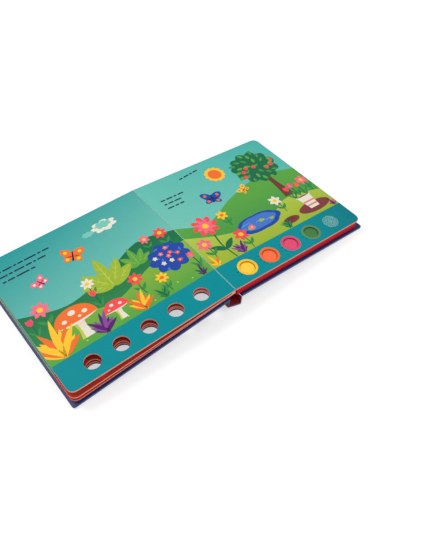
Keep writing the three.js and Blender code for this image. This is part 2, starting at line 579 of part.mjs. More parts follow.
// Button cells and the contact strips at the ends of their row
const cellBottom = DOOR_TOP + GLUE_LINE;
for (let i = 0; i < CELL_COUNT; i += 1) {
  const x = batteryX + (i - (CELL_COUNT - 1) / 2) * cellPitch;
  const r = CELL_DIAMETER / 2;
  const top = cellBottom + CELL_THICKNESS;
  const profile = [
    [0, cellBottom], [r - 0.4, cellBottom], [r, cellBottom + 0.4], [r, top - 0.8], [r - 0.8, top - 0.5],
    [r - 1, top], [0, top],
  ];
  addMesh(
    rightHalf, `button_cell_${i + 1}`, toSolid(turned(profile, x, HOLE_FROM_NEAR_EDGE, 16)),
    material(COLOR.steel, 0.25, 0.95),
  );
}
[["battery_contact_plus", -1], ["battery_contact_minus", 1]].forEach(([name, side]) => {
  const inner = batteryX + side * ((CELL_COUNT * cellPitch) / 2);
  const outer = inner + side * CONTACT_THICKNESS;
  addMesh(
    rightHalf, name,
    box(
      Math.min(inner, outer), Math.max(inner, outer),
      HOLE_FROM_NEAR_EDGE - CONTACT_WIDTH / 2, HOLE_FROM_NEAR_EDGE + CONTACT_WIDTH / 2,
      cellBottom, BOARD_BOTTOM - FILM_GAP,
    ),
    material(COLOR.gold, 0.3, 0.9),
  );
});

// Spine: two hinge strips and the board hanging between them, drawn in the right half's frame
const SPINE_Y0 = -COVER_SQUARE;
const SPINE_Y1 = PAGE_HEIGHT + COVER_SQUARE;
const backHinge = new THREE.Vector2(BACK_COVER_START, BACK_COVER_BOTTOM);
const spineRight = new THREE.Vector2(backHinge.x, backHinge.y - BACK_STRIP_SPAN);
const spineAlong = new THREE.Vector2(-Math.cos(SPINE_TILT), Math.sin(SPINE_TILT));
const spineDown = new THREE.Vector2(-Math.sin(SPINE_TILT), -Math.cos(SPINE_TILT));
const spineLeft = spineRight.clone().addScaledVector(spineAlong, SPINE_WIDTH);
const frontHinge = new THREE.Vector2(-FRONT_COVER_START, -frontCoverBottom(FRONT_COVER_START))
  .rotateAround(new THREE.Vector2(0, 0), OPEN_ANGLE);
const plank = (start, along, across, from, to, thickness) => bar([
  start.clone().addScaledVector(along, from),
  start.clone().addScaledVector(along, to),
  start.clone().addScaledVector(along, to).addScaledVector(across, thickness),
  start.clone().addScaledVector(along, from).addScaledVector(across, thickness),
].map((p) => [p.x, p.y]), SPINE_Y0, SPINE_Y1);
addMesh(
  rightHalf, "back_joint_strip",
  toSolid(plank(
    backHinge, new THREE.Vector2(0, -1), new THREE.Vector2(-1, 0), CREASE_GAP,
    BACK_STRIP_SPAN - STRIP_END_GAP, STRIP_THICKNESS,
  )),
  material(COLOR.darkRed, 0.5),
);
addMesh(
  rightHalf, "spine_board",
  toSolid(plank(spineRight, spineAlong, spineDown, 0, SPINE_WIDTH, SPINE_THICKNESS)),
  material(COLOR.navy, 0.35),
);
const frontStripSpan = spineLeft.distanceTo(frontHinge);
const frontStripAlong = spineLeft.clone().sub(frontHinge).normalize();
const frontStripAcross = new THREE.Vector2(frontStripAlong.y, -frontStripAlong.x);
addMesh(
  rightHalf, "front_joint_strip",
  toSolid(plank(
    frontHinge, frontStripAlong, frontStripAcross,
    CREASE_GAP, frontStripSpan - STRIP_END_GAP, STRIP_THICKNESS,
  )),
  material(COLOR.darkRed, 0.5),
);

// Print on the left page, the red strip of the leaf below it, and print on the last page
const printSlab = (shape, layer, curveSegments = 5) =>
  toSolid(slab(shape, filmLevel(layer), filmLevel(layer) + FILM_THICKNESS, 0, curveSegments));
const stripShape = (side) => pageOutline(
  side, FILM_MARGIN, PAGE_WIDTH - FILM_MARGIN,
  FILM_MARGIN, 2 * STRIP_HEIGHT, PAGE_CORNER_RADIUS - FILM_MARGIN,
);
const belowStrip = (z0, z1) => toSolid(box(
  -PAGE_WIDTH - 1, PAGE_WIDTH + 1, -1, STRIP_HEIGHT, z0, z1,
));
const filmHoles = (radius) => fingerHoles(radius, -1, CUT_TOP);
const leftStrip = printSlab(stripShape(-1), 0).intersect(belowStrip(-1, 1));
addMesh(
  leftHalf, "left_strip_print",
  cut(leftStrip, filmHoles(HOLE_RADIUS + FILM_MARGIN)), paper(COLOR.strip),
);
const rightStrip = printSlab(stripShape(1), 0).intersect(belowStrip(-1, 1));
addMesh(
  rightHalf, "right_strip_print",
  cut(rightStrip, rightHoles(HOLE_RADIUS + FILM_MARGIN, GRILLE_HOLE_RADIUS + FILM_MARGIN, -1, 1)),
  paper(COLOR.strip),
);
const nextLeafSlope = Math.atan(secondLeafTop(1) - secondLeafTop(0));
const nextLeafStart = 2 * UPPER_GAP_START;
const nextLeafPrint = slab(
  pageOutline(
    -1, nextLeafStart, PAGE_WIDTH - FILM_MARGIN,
    FILM_MARGIN, PAGE_HEIGHT / 2, PAGE_CORNER_RADIUS - FILM_MARGIN,
  ),
  FILM_GAP, FILM_GAP + FILM_THICKNESS,
);
nextLeafPrint.rotateY(-nextLeafSlope);
nextLeafPrint.translate(0, 0, -secondLeafTop(0));
const nextLeafStrip = toSolid(nextLeafPrint).intersect(belowStrip(-leftDepth, 0));
addMesh(
  leftHalf, "next_leaf_strip_print",
  cut(nextLeafStrip, fingerHoles(HOLE_RADIUS + FILM_MARGIN)), paper(COLOR.nextLeaf),
);

// Rolling ground as a smooth outline above the strip
const groundBase = STRIP_HEIGHT + FIELD_GAP;
const groundShape = (side, crest) => {
  const shape = new THREE.Shape();
  const points = crest.map(([x, y]) => new THREE.Vector2(
    side * THREE.MathUtils.clamp(x, FILM_MARGIN, PAGE_WIDTH - FILM_MARGIN), y,
  ));
  shape.moveTo(points[0].x, groundBase);
  shape.lineTo(points[0].x, points[0].y);
  shape.splineThru(points.slice(1));
  shape.lineTo(points[points.length - 1].x, groundBase);
  shape.closePath();
  return shape;
};
// A scalloped round: a circle whose radius swells in a number of lobes
const scallop = (side, { x, y, size, lobes, depth, squash }) => {
  const steps = lobes * SCALLOP_STEPS;
  return new THREE.Shape(Array.from({ length: steps }, (_, i) => {
    const angle = (2 * Math.PI * i) / steps;
    const radius = size * (1 - depth + depth * Math.abs(Math.cos((lobes * angle) / 2)));
    return new THREE.Vector2(side * x + radius * Math.cos(angle), y + squash * radius * Math.sin(angle));
  }));
};
const addPrint = (half, name, shape, layer, color, curveSegments) => addMesh(
  half, `${name}_print`, printSlab(shape, layer, curveSegments), paper(color),
);
addPrint(leftHalf, "left_far_hill", groundShape(-1, LEFT_FAR_CREST), 0, COLOR.forest);
addPrint(leftHalf, "left_field", groundShape(-1, LEFT_FIELD_CREST), 1, COLOR.field);
addPrint(rightHalf, "right_far_hill", groundShape(1, RIGHT_FAR_CREST), 0, COLOR.field);
addPrint(rightHalf, "right_field", groundShape(1, RIGHT_FIELD_CREST), 1, COLOR.lime);

// Toadstools: a domed cap over a waisted stem, every part in proportion to the cap's half width
const addToadstool = (half, side, name, { x: place, y: foot, size: r }, color) => {
  const x = side * place;
  const brim = foot + r;
  const crown = foot + 2.1 * r;
  const cap = new THREE.Shape();
  cap.moveTo(x - r, brim);
  cap.bezierCurveTo(x - r, crown, x + r, crown, x + r, brim);
  cap.quadraticCurveTo(x, foot + 0.7 * r, x - r, brim);
  addPrint(half, `${name}_cap`, cap, 3, color, 8);
  const stem = new THREE.Shape();
  const neck = foot + 1.1 * r;
  const waist = foot + 0.5 * r;
  stem.moveTo(x - 0.3 * r, foot);
  stem.quadraticCurveTo(x, foot - 0.12 * r, x + 0.3 * r, foot);
  stem.quadraticCurveTo(x + 0.16 * r, waist, x + 0.28 * r, neck);
  stem.lineTo(x - 0.28 * r, neck);
  stem.quadraticCurveTo(x - 0.16 * r, waist, x - 0.3 * r, foot);
  addPrint(half, `${name}_stem`, stem, 2, COLOR.cream, 4);
};
addToadstool(leftHalf, -1, "large_toadstool", LARGE_TOADSTOOL, COLOR.orange);
addToadstool(leftHalf, -1, "small_toadstool", SMALL_TOADSTOOL, COLOR.coral);
addPrint(leftHalf, "left_cloud", scallop(-1, CLOUD), 1, COLOR.cream);
addPrint(leftHalf, "left_bush", scallop(-1, BUSH), 2, COLOR.blue);
addPrint(rightHalf, "pond", scallop(1, POND), 2, COLOR.blue);
addPrint(rightHalf, "tree_crown", scallop(1, TREE_CROWN), 3, COLOR.forest);
addPrint(rightHalf, "sun", scallop(1, SUN), 1, COLOR.yellow);
addPrint(rightHalf, "daisy", scallop(1, DAISY), 3, COLOR.coral);

// Trunk: wide at the foot and waisted below the crown
const trunkSide = ({ x, y, half }, side) => [x + side * half, y];
const trunk = new THREE.Shape();
trunk.moveTo(...trunkSide(TRUNK_FOOT, -1));
trunk.quadraticCurveTo(...trunkSide(TRUNK_WAIST, -1), ...trunkSide(TRUNK_TOP, -1));
trunk.lineTo(...trunkSide(TRUNK_TOP, 1));
trunk.quadraticCurveTo(...trunkSide(TRUNK_WAIST, 1), ...trunkSide(TRUNK_FOOT, 1));
trunk.quadraticCurveTo(TRUNK_FOOT.x, TRUNK_FOOT.y - TRUNK_FOOT.root, ...trunkSide(TRUNK_FOOT, -1));
addPrint(rightHalf, "tree_trunk", trunk, 2, COLOR.brown);

// The origin is the middle of the footprint on the table
book.updateMatrixWorld(true);
const bounds = new THREE.Box3().setFromObject(book, true);
const middle = bounds.getCenter(new THREE.Vector3());
book.position.set(-middle.x, -middle.y, -bounds.min.z);
book.updateMatrixWorld(true);

export default book;
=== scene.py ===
"""Looks of a children's sound board book lying open at its last spread, in the row frame."""

import logging
import math
from dataclasses import dataclass, field
from enum import Enum
from functools import cached_property
from itertools import product
from typing import Any, Callable, Sequence

import bpy
import numpy as np
from mathutils import Matrix, Vector


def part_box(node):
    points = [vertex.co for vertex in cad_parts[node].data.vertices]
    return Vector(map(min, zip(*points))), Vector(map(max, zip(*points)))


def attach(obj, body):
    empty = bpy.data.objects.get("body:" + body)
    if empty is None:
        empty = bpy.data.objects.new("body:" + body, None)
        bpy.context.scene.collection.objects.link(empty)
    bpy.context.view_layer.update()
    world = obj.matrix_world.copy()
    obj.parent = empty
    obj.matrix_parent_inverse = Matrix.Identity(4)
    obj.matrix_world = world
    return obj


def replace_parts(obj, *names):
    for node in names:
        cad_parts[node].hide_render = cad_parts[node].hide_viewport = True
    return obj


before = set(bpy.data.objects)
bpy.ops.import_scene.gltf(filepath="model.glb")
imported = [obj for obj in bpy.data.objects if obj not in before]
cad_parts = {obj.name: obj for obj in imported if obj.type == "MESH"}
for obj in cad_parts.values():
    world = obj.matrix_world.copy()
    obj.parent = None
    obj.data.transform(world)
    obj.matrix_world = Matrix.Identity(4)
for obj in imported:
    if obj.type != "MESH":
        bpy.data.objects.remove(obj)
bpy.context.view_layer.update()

log = logging.getLogger("book")
MM = 0.001
WHITE = (1.0, 1.0, 1.0, 1.0)
Colour = tuple[float, float, float]
Place = tuple[float, float]
Point = tuple[float, float, float]
Grid = np.ndarray
Socket = bpy.types.NodeSocket
Feeds = dict[Any, Any]


def linear(red: float, green: float, blue: float) -> Colour:
    """Turns an 8-bit display colour into scene-linear values.

    Args:
        red: Red, 0 to 255.
        green: Green, 0 to 255.
        blue: Blue, 0 to 255.

    Returns:
        The three linear values.
    """
    part = np.array([red, green, blue]) / 255.0
    value = np.where(part <= 0.04045, part / 12.92, ((part + 0.055) / 1.055) ** 2.4)
    return tuple(float(v) for v in value)


class Ink(Enum):
    """Printing inks of the spread, as display colours."""

    SKY_DEEP = (10, 148, 150)
    SKY = (72, 182, 172)
    SKY_PALE = (122, 202, 186)
    TEAL = (0, 140, 150)
    TEAL_DARK = (0, 112, 124)
    TEAL_SHADE = (0, 72, 84)
    TEAL_PALE = (158, 212, 206)
    FOREST = (28, 112, 74)
    LEAF = (58, 146, 76)
    FIELD = (92, 168, 70)
    LIME = (160, 186, 56)
    LIME_PALE = (192, 208, 84)
    ORANGE = (248, 116, 50)
    YELLOW = (255, 203, 52)
    CORAL = (250, 82, 84)
    PINK = (252, 112, 136)
    MAGENTA = (232, 76, 118)
    PURPLE = (92, 34, 112)
    LILAC = (140, 78, 156)
    BLUE = (38, 76, 168)
    BLUE_PALE = (74, 122, 204)
    CREAM = (240, 232, 214)
    BROWN = (112, 62, 50)
    MAUVE = (132, 64, 66)
    INDIGO = (30, 36, 72)
    SALMON = (226, 138, 124)
    RING_GREEN = (62, 128, 68)
    RIM_GREEN = (106, 142, 92)
    CREASE = (168, 214, 202)

    def linear(self) -> Colour:
        """Returns the ink as scene-linear values."""
        return linear(*self.value)


@dataclass(frozen=True)
class HalfFrame:
    """One half of the open book: distance from the gutter, inward from the near edge, and height.

    Attributes:
        side: 1 for the right half and -1 for the left half.
        tilt: Slope of the page down to its fore-edge, in radians.
        gutter: Near end of the gutter line on the page surface, in millimetres.
    """

    side: int
    tilt: float
    gutter: Point = (0.0787, -98.5, 26.9707)

    def place(self, points: Grid) -> Grid:
        """Carries page coordinates into the row frame.

        The distance runs along the slope and the height along its upright:
        x = gutter + side (d cos t + h sin t), z = gutter - d sin t + h cos t.

        Args:
            points: Array ending in (distance, inward, height), in millimetres.

        Returns:
            The same points in the row frame, in metres.
        """
        d, inward, height = points[..., 0], points[..., 1], points[..., 2]
        cos, sin = math.cos(self.tilt), math.sin(self.tilt)
        x = self.gutter[0] + self.side * (d * cos + height * sin)
        z = self.gutter[2] - d * sin + height * cos
        return np.stack([x, self.gutter[1] + inward, z], axis=-1) * MM

    def along(self) -> Vector:
        """Returns the direction away from the gutter."""
        return Vector((self.side * math.cos(self.tilt), 0.0, -math.sin(self.tilt)))

    def upright(self) -> Vector:
        """Returns the direction out of the page."""
        return Vector((self.side * math.sin(self.tilt), 0.0, math.cos(self.tilt)))

    def origin(self) -> Vector:
        """Returns the near end of the gutter line in metres."""
        return Vector(self.gutter) * MM


@dataclass(frozen=True)
class PageSizes:
    """Sizes of the spread that the pieces share, in millimetres.

    Attributes:
        width: A page's width.
        height: Its height.
        corner: Radius of its outer corners.
        strip: Height of the strip along the near edge.
        strip_gap: Gap between the strip and the picture.
        hole_radius: Radius of the round holes.
        ring: Width of the ring round a hole.
        first_hole: Distance of the first hole from the gutter.
        pitch: Step from hole to hole.
        row: The row of holes, inward from the near edge.
        holes: Places in the row.
        grille_radius: Radius of the grille.
        margin: Bare paper round the print.
        bleed: How far the strip passes a hole's edge, or stops short of the grille.
        ring_bleed: How far a ring passes it.
        ring_depth: Depth to which a ring's print goes down the wall of its hole.
        film: Thickness of the print.
        step: Height from one layer of print to the next.
    """

    width: float = 200.0
    height: float = 197.0
    corner: float = 9.0
    strip: float = 36.0
    strip_gap: float = 0.3
    hole_radius: float = 9.0
    ring: float = 2.75
    first_hole: float = 32.3
    pitch: float = 33.2
    row: float = 18.0
    holes: int = 5
    grille_radius: float = 10.5
    margin: float = 0.35
    bleed: float = 0.1
    ring_bleed: float = 0.12
    ring_depth: float = 1.55
    film: float = 0.02
    step: float = 0.03

    def hole(self, index: float) -> float:
        """Returns the distance of a place in the row from the gutter."""
        return self.first_hole + index * self.pitch


PAGE = PageSizes()
RIGHT = HalfFrame(side=1, tilt=0.0632478)
LEFT = HalfFrame(side=-1, tilt=0.0236696)

# Where each wash of ink starts and over what length it changes, in millimetres
GROUND_WASH = (40.0, 70.0)
SKY_WASH = (90.0, 110.0)
STRIP_WASH = (120.0, 110.0)
TUFT_FAN = 52  # degrees that a tuft's outer leaves lean


# Grids in page coordinates. Each is an array of rows, columns and (distance, inward).


def spread(start: float, end: float, count: int) -> Grid:
    """Returns evenly spread numbers with both ends."""
    return np.linspace(start, end, count)


def ray(x: float, y: float, angle: float, length: float) -> Place:
    """Returns the point at a distance from another, by direction in degrees."""
    way = math.radians(angle)
    return x + length * math.cos(way), y + length * math.sin(way)


def raised(grid: Grid, height: float) -> Grid:
    """Gives a flat grid its height over the page."""
    return np.concatenate([grid, np.full(grid.shape[:-1] + (1,), height)], axis=-1)


def level_line(x: Grid, y: float) -> Grid:
    """A line of points at one distance inward."""
    return np.stack([x, np.full(len(x), y)], axis=-1)


def disc(x: float, y: float, radius: Callable[[Grid], Grid] | float, cells: int,
         squash: float = 1.0) -> Grid:
    """A filled round without a pole: a square grid pressed onto a disc.

    A grid point at the square's radius r = max(|a|, |b|) goes to the angle that its place along
    the square's side gives, and to r times the outline's radius at that angle.

    Args:
        x: Distance of the centre from the gutter.
        y: Centre inward from the near edge.
        radius: Radius, or a function of the angle.
        cells: Cells along one side of the square.
        squash: Height of the round over its width.

    Returns:
        The grid of points.
    """
    a, b = np.meshgrid(spread(-1, 1, cells + 1), spread(-1, 1, cells + 1))
    wide = np.abs(a) >= np.abs(b)
    safe_a, safe_b = np.where(np.abs(a) < 1e-9, 1e-9, a), np.where(np.abs(b) < 1e-9, 1e-9, b)
    reach = np.where(wide, a, b)
    angle = np.where(wide, math.pi / 4 * b / safe_a, math.pi / 2 - math.pi / 4 * a / safe_b)
    angle = np.where(reach < 0, angle + math.pi, angle)
    size = radius(angle) if callable(radius) else radius
    u, v = np.abs(reach) * size * np.cos(angle), np.abs(reach) * size * np.sin(angle) * squash
    return np.stack([x + u, y + v], axis=-1)


def scallop(radius: float, lobes: int, depth: float) -> Callable[[Grid], Grid]:
    """Outline whose radius swells in lobes: R (1 - depth + depth |cos(lobes angle / 2)|)."""
    return lambda angle: radius * (1 - depth + depth * np.abs(np.cos(lobes * angle / 2)))


def notched(radius: float, at: float, width: float = 0.16) -> Callable[[Grid], Grid]:
    """Round outline with one narrow notch, as on a lily pad."""
    def reach(angle: Grid) -> Grid:
        gap = (angle - at + math.pi) % (2 * math.pi) - math.pi
        return radius * (1 - 0.8 * np.exp(-(gap / width) ** 2))
    return reach


def panel(x0: float, x1: float, y0: float, y1: float, columns: int, rows: int) -> Grid:
    """A plain rectangle of cells."""
    x, y = np.meshgrid(spread(x0, x1, columns), spread(y0, y1, rows))
    return np.stack([x, y], axis=-1)


def annulus(x: float, y: float, inner: float, outer: float, steps: int, rows: int = 2) -> Grid:
    """A flat ring; the last column lies on the first."""
    r, angle = np.meshgrid(spread(inner, outer, rows), spread(0, 2 * math.pi, steps + 1), indexing="ij")
    return np.stack([x + r * np.cos(angle), y + r * np.sin(angle)], axis=-1)


def outline(u0: float, u1: float, v0: float, v1: float, side: int) -> Grid:
    """The closed outline of a rectangle, in equal steps along each side.

    Args:
        u0: Low end of the first coordinate.
        u1: High end of the first coordinate.
        v0: Low end of the second coordinate.
        v1: High end of the second coordinate.
        side: Steps on each side.

    Returns:
        Its points, the last one on the first.
    """
    t = spread(0, 1, side + 1)[:-1]
    u = np.concatenate([u0 + (u1 - u0) * t, np.full(side, u1), u1 + (u0 - u1) * t, np.full(side + 1, u0)])
    v = np.concatenate([np.full(side, v0), v0 + (v1 - v0) * t, np.full(side, v1), v1 + (v0 - v1) * t, [v0]])
    return np.stack([u, v], axis=-1)


def between(low: Grid, high: Grid, rows: int) -> Grid:
    """Fills the space between two outlines of equal length with straight rungs."""
    t = spread(0, 1, rows)[:, None, None]
    return low[None] * (1 - t) + high[None] * t


def holed(centre: Grid, radius: float, edge: Grid, rows: int) -> Grid:
    """Rays from the rim of a round hole out to an outline."""
    way = edge - centre
    return between(centre + radius * way / np.linalg.norm(way, axis=1, keepdims=True), edge, rows)


def column(x: float, half: Grid, rise: Grid, rows: int) -> Grid:
    """An upright shape of changing width about a mid line, from its left side to its right."""
    return between(np.stack([x - half, rise], -1), np.stack([x + half, rise], -1), rows)


def curve(points: Sequence[Place], count: int) -> Grid:
    """A smooth line through points, by the Catmull-Rom rule with its ends held.

    Args:
        points: The points to pass through.
        count: Points on the finished line.

    Returns:
        Array of count points.
    """
    p = np.asarray(points, float)
    t = spread(0, len(p) - 1, count)
    i = np.minimum(t.astype(int), len(p) - 2)
    w = (t - i)[:, None]
    a, b, c, d = p[np.maximum(i - 1, 0)], p[i], p[i + 1], p[np.minimum(i + 2, len(p) - 1)]
    slope_b, slope_c = (c - a) / 2, (d - b) / 2
    return ((2 * b - 2 * c + slope_b + slope_c) * w ** 3
            + (3 * c - 3 * b - 2 * slope_b - slope_c) * w ** 2 + slope_b * w + b)


def ribbon(points: Sequence[Place], width: float, taper: float = 0.0, count: int = 14) -> Grid:
    """A band along a smooth line, narrowing towards its end.

    Args:
        points: Points on the line.
        width: Width at the start.
        taper: Share of the width that is lost at the end.
        count: Points along the line.

    Returns:
        The grid, three points across.
    """
    line = curve(points, count)
    run = np.gradient(line, axis=0)
    run /= np.maximum(np.linalg.norm(run, axis=1, keepdims=True), 1e-9)
    across = np.stack([-run[:, 1], run[:, 0]], axis=-1)
    half = (width / 2 * (1 - taper * spread(0, 1, count)))[:, None]
    return np.stack([line - across * half, line, line + across * half], axis=0)


def leaf(x: float, y: float, angle: float, length: float, width: float, bend: float = 0.0,
         fullness: float = 0.8, count: int = 12) -> Grid:
    """A leaf or petal: its half width follows sin(pi u) to a power, on a bent mid line.

    Args:
        x: Distance of the foot.
        y: Foot inward from the near edge.
        angle: Direction of growth in degrees, 90 is away from the reader.
        length: Length from foot to tip.
        width: Greatest width.
        bend: Sideways shift of the tip, as a share of the length.
        fullness: Power on the sine; small is full and large is slender.
        count: Points along the leaf.

    Returns:
        The grid, five points across.
    """
    u = spread(0.0, 1.0, count)
    half = width / 2 * (0.03 + 0.97 * np.sin(math.pi * u ** 0.85) ** fullness)
    forward, sideways = u * length, bend * length * u ** 2
    v = spread(-1, 1, 5)[:, None]
    p, q = np.broadcast_to(forward, (5, count)), sideways[None] + v * half[None]
    cos, sin = math.cos(math.radians(angle)), math.sin(math.radians(angle))
    return np.stack([x + p * cos - q * sin, y + p * sin + q * cos], axis=-1)


@dataclass
class Surface:
    """Grids gathered into one mesh.

    Attributes:
        points: Places in the row frame, in metres.
        faces: Corners of each face.
        inks: Colour at every point.
        weaves: Share of the strip's dotted pattern at every point.
        pages: Page coordinates of every point.
        count: Points so far.
    """

    points: list[Grid] = field(default_factory=list)
    faces: list[list[int]] = field(default_factory=list)
    inks: list[Grid] = field(default_factory=list)
    weaves: list[Grid] = field(default_factory=list)
    pages: list[Grid] = field(default_factory=list)
    count: int = 0

    def add(self, world: Grid, facing: Vector | None = None, ink: Grid | Colour = (1, 1, 1),
            weave: float = 0.0, page: Grid | None = None) -> None:
        """Adds a grid of row-frame points.

        Args:
            world: Rows, columns and places in metres.
            facing: Side the faces should look to, or None to keep the order of the grid.
            ink: One colour, or a colour for every point.
            weave: Share of the strip's dotted pattern.
            page: Page coordinates of the points, for patterns.
        """
        rows, columns = world.shape[:2]
        index = np.arange(rows * columns).reshape(rows, columns)
        corners = (index[:-1, :-1], index[:-1, 1:], index[1:, 1:], index[1:, :-1])
        quads = np.stack(corners, axis=-1).reshape(-1, 4)
        flat = world.reshape(-1, 3)
        if facing is not None:
            corner = flat[quads]
            cross = np.cross(corner[:, 2] - corner[:, 0], corner[:, 3] - corner[:, 1]).sum(0)
            if float(cross @ np.array(facing)) < 0:
                quads = quads[:, ::-1]
        self._store(flat, (quads + self.count).tolist(), ink, weave, page)

    def lathe(self, profile: Grid, carry: Callable[[Grid], Grid], steps: int) -> None:
        """Turns a profile about its own axis; a point at radius zero becomes one closed pole.

        Args:
            profile: Array of (radius, height), going down the outside so that faces look out.
            carry: Takes (u, v, height) of a turned point to the row frame.
            steps: Steps round the axis.
        """
        angle = spread(0, 2 * math.pi, steps + 1)[:-1]
        faces, places, rings, total = [], [], [], 0
        for radius, height in profile:
            size = 1 if radius < 1e-6 else steps
            turn = angle[:size]
            places.append(np.stack([radius * np.cos(turn), radius * np.sin(turn), np.full(size, height)], -1))
            rings.append(np.arange(total, total + size))
            total += size
        for upper, lower in zip(rings, rings[1:]):
            a, b = np.resize(upper, steps), np.resize(lower, steps)
            corners = [a, b]
            if len(lower) > 1:
                corners.append(np.roll(b, -1))
            if len(upper) > 1:
                corners.append(np.roll(a, -1))
            faces += (np.stack(corners, -1) + self.count).tolist()
        self._store(carry(np.concatenate(places)), faces, (1, 1, 1), 0.0, None)

    def _store(self, flat: Grid, faces: list[list[int]], ink: Grid | Colour, weave: float,
               page: Grid | None) -> None:
        """Keeps one set of points, faces and attributes."""
        size = len(flat)
        colour = np.asarray(ink, float)
        colour = np.broadcast_to(colour, (size, 3)) if colour.ndim == 1 else colour.reshape(-1, 3)
        self.points.append(flat)
        self.faces += faces
        self.inks.append(np.concatenate([colour, np.ones((size, 1))], axis=1))
        self.weaves.append(np.full(size, weave))
        self.pages.append(np.zeros((size, 3)) if page is None else page.reshape(-1, 3))
        self.count += size

    def weld(self) -> None:
        """Joins points that share a place, so that neighbouring grids become one skin."""
        flat = np.concatenate(self.points)
        _, first, back = np.unique(np.round(flat, 7), axis=0, return_index=True, return_inverse=True)
        back = back.reshape(-1)
        self.faces = [back[f].tolist() for f in self.faces]
        self.points, self.inks, self.weaves, self.pages = (
            [np.concatenate(kept)[first]] for kept in (self.points, self.inks, self.weaves, self.pages))

    def build(self, name: str, material: bpy.types.Material, crease: float = 0.0) -> bpy.types.Object:
        """Makes the object, its attributes and its one material.

        Args:
            name: Name of the object.
            material: The finish.
            crease: Angle in degrees over which edges stay sharp; zero keeps flat faces.

        Returns:
            The new object, at the origin, in the scene's collection.
        """
        mesh = bpy.data.meshes.new(name)
        mesh.from_pydata(np.concatenate(self.points).tolist(), [], self.faces)
        for title, kind, key, values in (("Ink", "FLOAT_COLOR", "color", self.inks),
                                         ("Weave", "FLOAT", "value", self.weaves),
                                         ("Page", "FLOAT_VECTOR", "vector", self.pages)):
            attribute = mesh.attributes.new(title, kind, "POINT")
            attribute.data.foreach_set(key, np.concatenate(values).astype(np.float32).ravel())
        mesh.polygons.foreach_set("use_smooth", np.full(len(mesh.polygons), crease > 0))
        mesh.materials.append(material)
        mesh.update()
        if crease > 0:
            mesh.set_sharp_from_angle(angle=math.radians(crease))
        made = bpy.data.objects.new(name, mesh)
        bpy.context.scene.collection.objects.link(made)
        log.info("built %s with %d faces", name, len(mesh.polygons))
        return made


class Graph:
    """Lays out the nodes of one shader or shared effect."""

    def __init__(self, tree: bpy.types.NodeTree) -> None:
        """Keeps the tree to lay nodes in."""
        self.tree = tree

    def feed(self, node: bpy.types.Node, feeds: Feeds) -> None:
        """Links an output socket to each input, or sets the input's constant."""
        for key, value in feeds.items():
            if isinstance(value, Socket):
                self.tree.links.new(value, node.inputs[key])
            else:
                node.inputs[key].default_value = value

    def node(self, kind: str, feeds: Feeds | None = None, **settings: Any) -> bpy.types.Node:
        """Adds a node.

        Args:
            kind: Type of the node.
            feeds: A constant or an output socket for each input, by name or number.
            **settings: Properties of the node.

        Returns:
            The node.
        """
        made = self.tree.nodes.new(kind)
        for key, value in settings.items():
            setattr(made, key, value)
        self.feed(made, feeds or {})
        return made

    def group(self, effect: bpy.types.NodeTree, feeds: Feeds) -> Any:
        """Adds a shared effect and returns its outputs."""
        return self.node("ShaderNodeGroup", feeds, node_tree=effect).outputs

    def attribute(self, name: str, output: str) -> Socket:
        """Reads an attribute of the mesh."""
        return self.node("ShaderNodeAttribute", attribute_name=name).outputs[output]

    def math(self, operation: str, *values: Any) -> Socket:
        """Adds a number node and returns its output."""
        return self.node("ShaderNodeMath", dict(enumerate(values)), operation=operation).outputs[0]

    def times(self, a: Any, b: Any) -> Socket:
        """Multiplies two numbers."""
        return self.math("MULTIPLY", a, b)

    def vector(self, operation: str, a: Any, b: Any, output: int | str = 0) -> Socket:
        """Adds a vector node and returns its output."""
        return self.node("ShaderNodeVectorMath", {0: a, 1: b}, operation=operation).outputs[output]

    def dot(self, a: Any, b: Any) -> Socket:
        """Returns the dot product of two vectors."""
        return self.vector("DOT_PRODUCT", a, b, "Value")

    def split(self, vector: Any) -> Any:
        """Returns the three numbers of a vector."""
        return self.node("ShaderNodeSeparateXYZ", {0: vector}).outputs

    def mix(self, share: Any, a: Any, b: Any) -> Socket:
        """Mixes two colours by a share."""
        a, b = ((*c, 1.0) if isinstance(c, tuple) else c for c in (a, b))
        return self.node("ShaderNodeMix", {0: share, 6: a, 7: b}, data_type="RGBA").outputs[2]

    def shade(self, colour: Any, value: Any) -> Socket:
        """Multiplies a colour by a number."""
        return self.node("ShaderNodeVectorMath", {0: colour, "Scale": value}, operation="SCALE").outputs[0]

    def ramp(self, value: Any, low: Any, high: Any, start: float = 0.0, end: float = 1.0) -> Socket:
        """Carries a value from one range smoothly to another."""
        feeds = {"Value": value, "From Min": low, "From Max": high, "To Min": start, "To Max": end}
        return self.node("ShaderNodeMapRange", feeds, interpolation_type="SMOOTHSTEP").outputs["Result"]

    def noise(self, point: Any, scale: Any, detail: float, roughness: float = 0.5) -> Socket:
        """Adds noise and returns its value."""
        feeds = {"Vector": point, "Scale": scale, "Detail": detail, "Roughness": roughness}
        return self.node("ShaderNodeTexNoise", feeds).outputs[0]

    def bump(self, height: Any, strength: Any, distance: float, **feeds: Any) -> Socket:
        """Turns a height into a surface normal."""
        named = {"Height": height, "Strength": strength, "Distance": distance}
        return self.node("ShaderNodeBump", {**named, **feeds}).outputs[0]


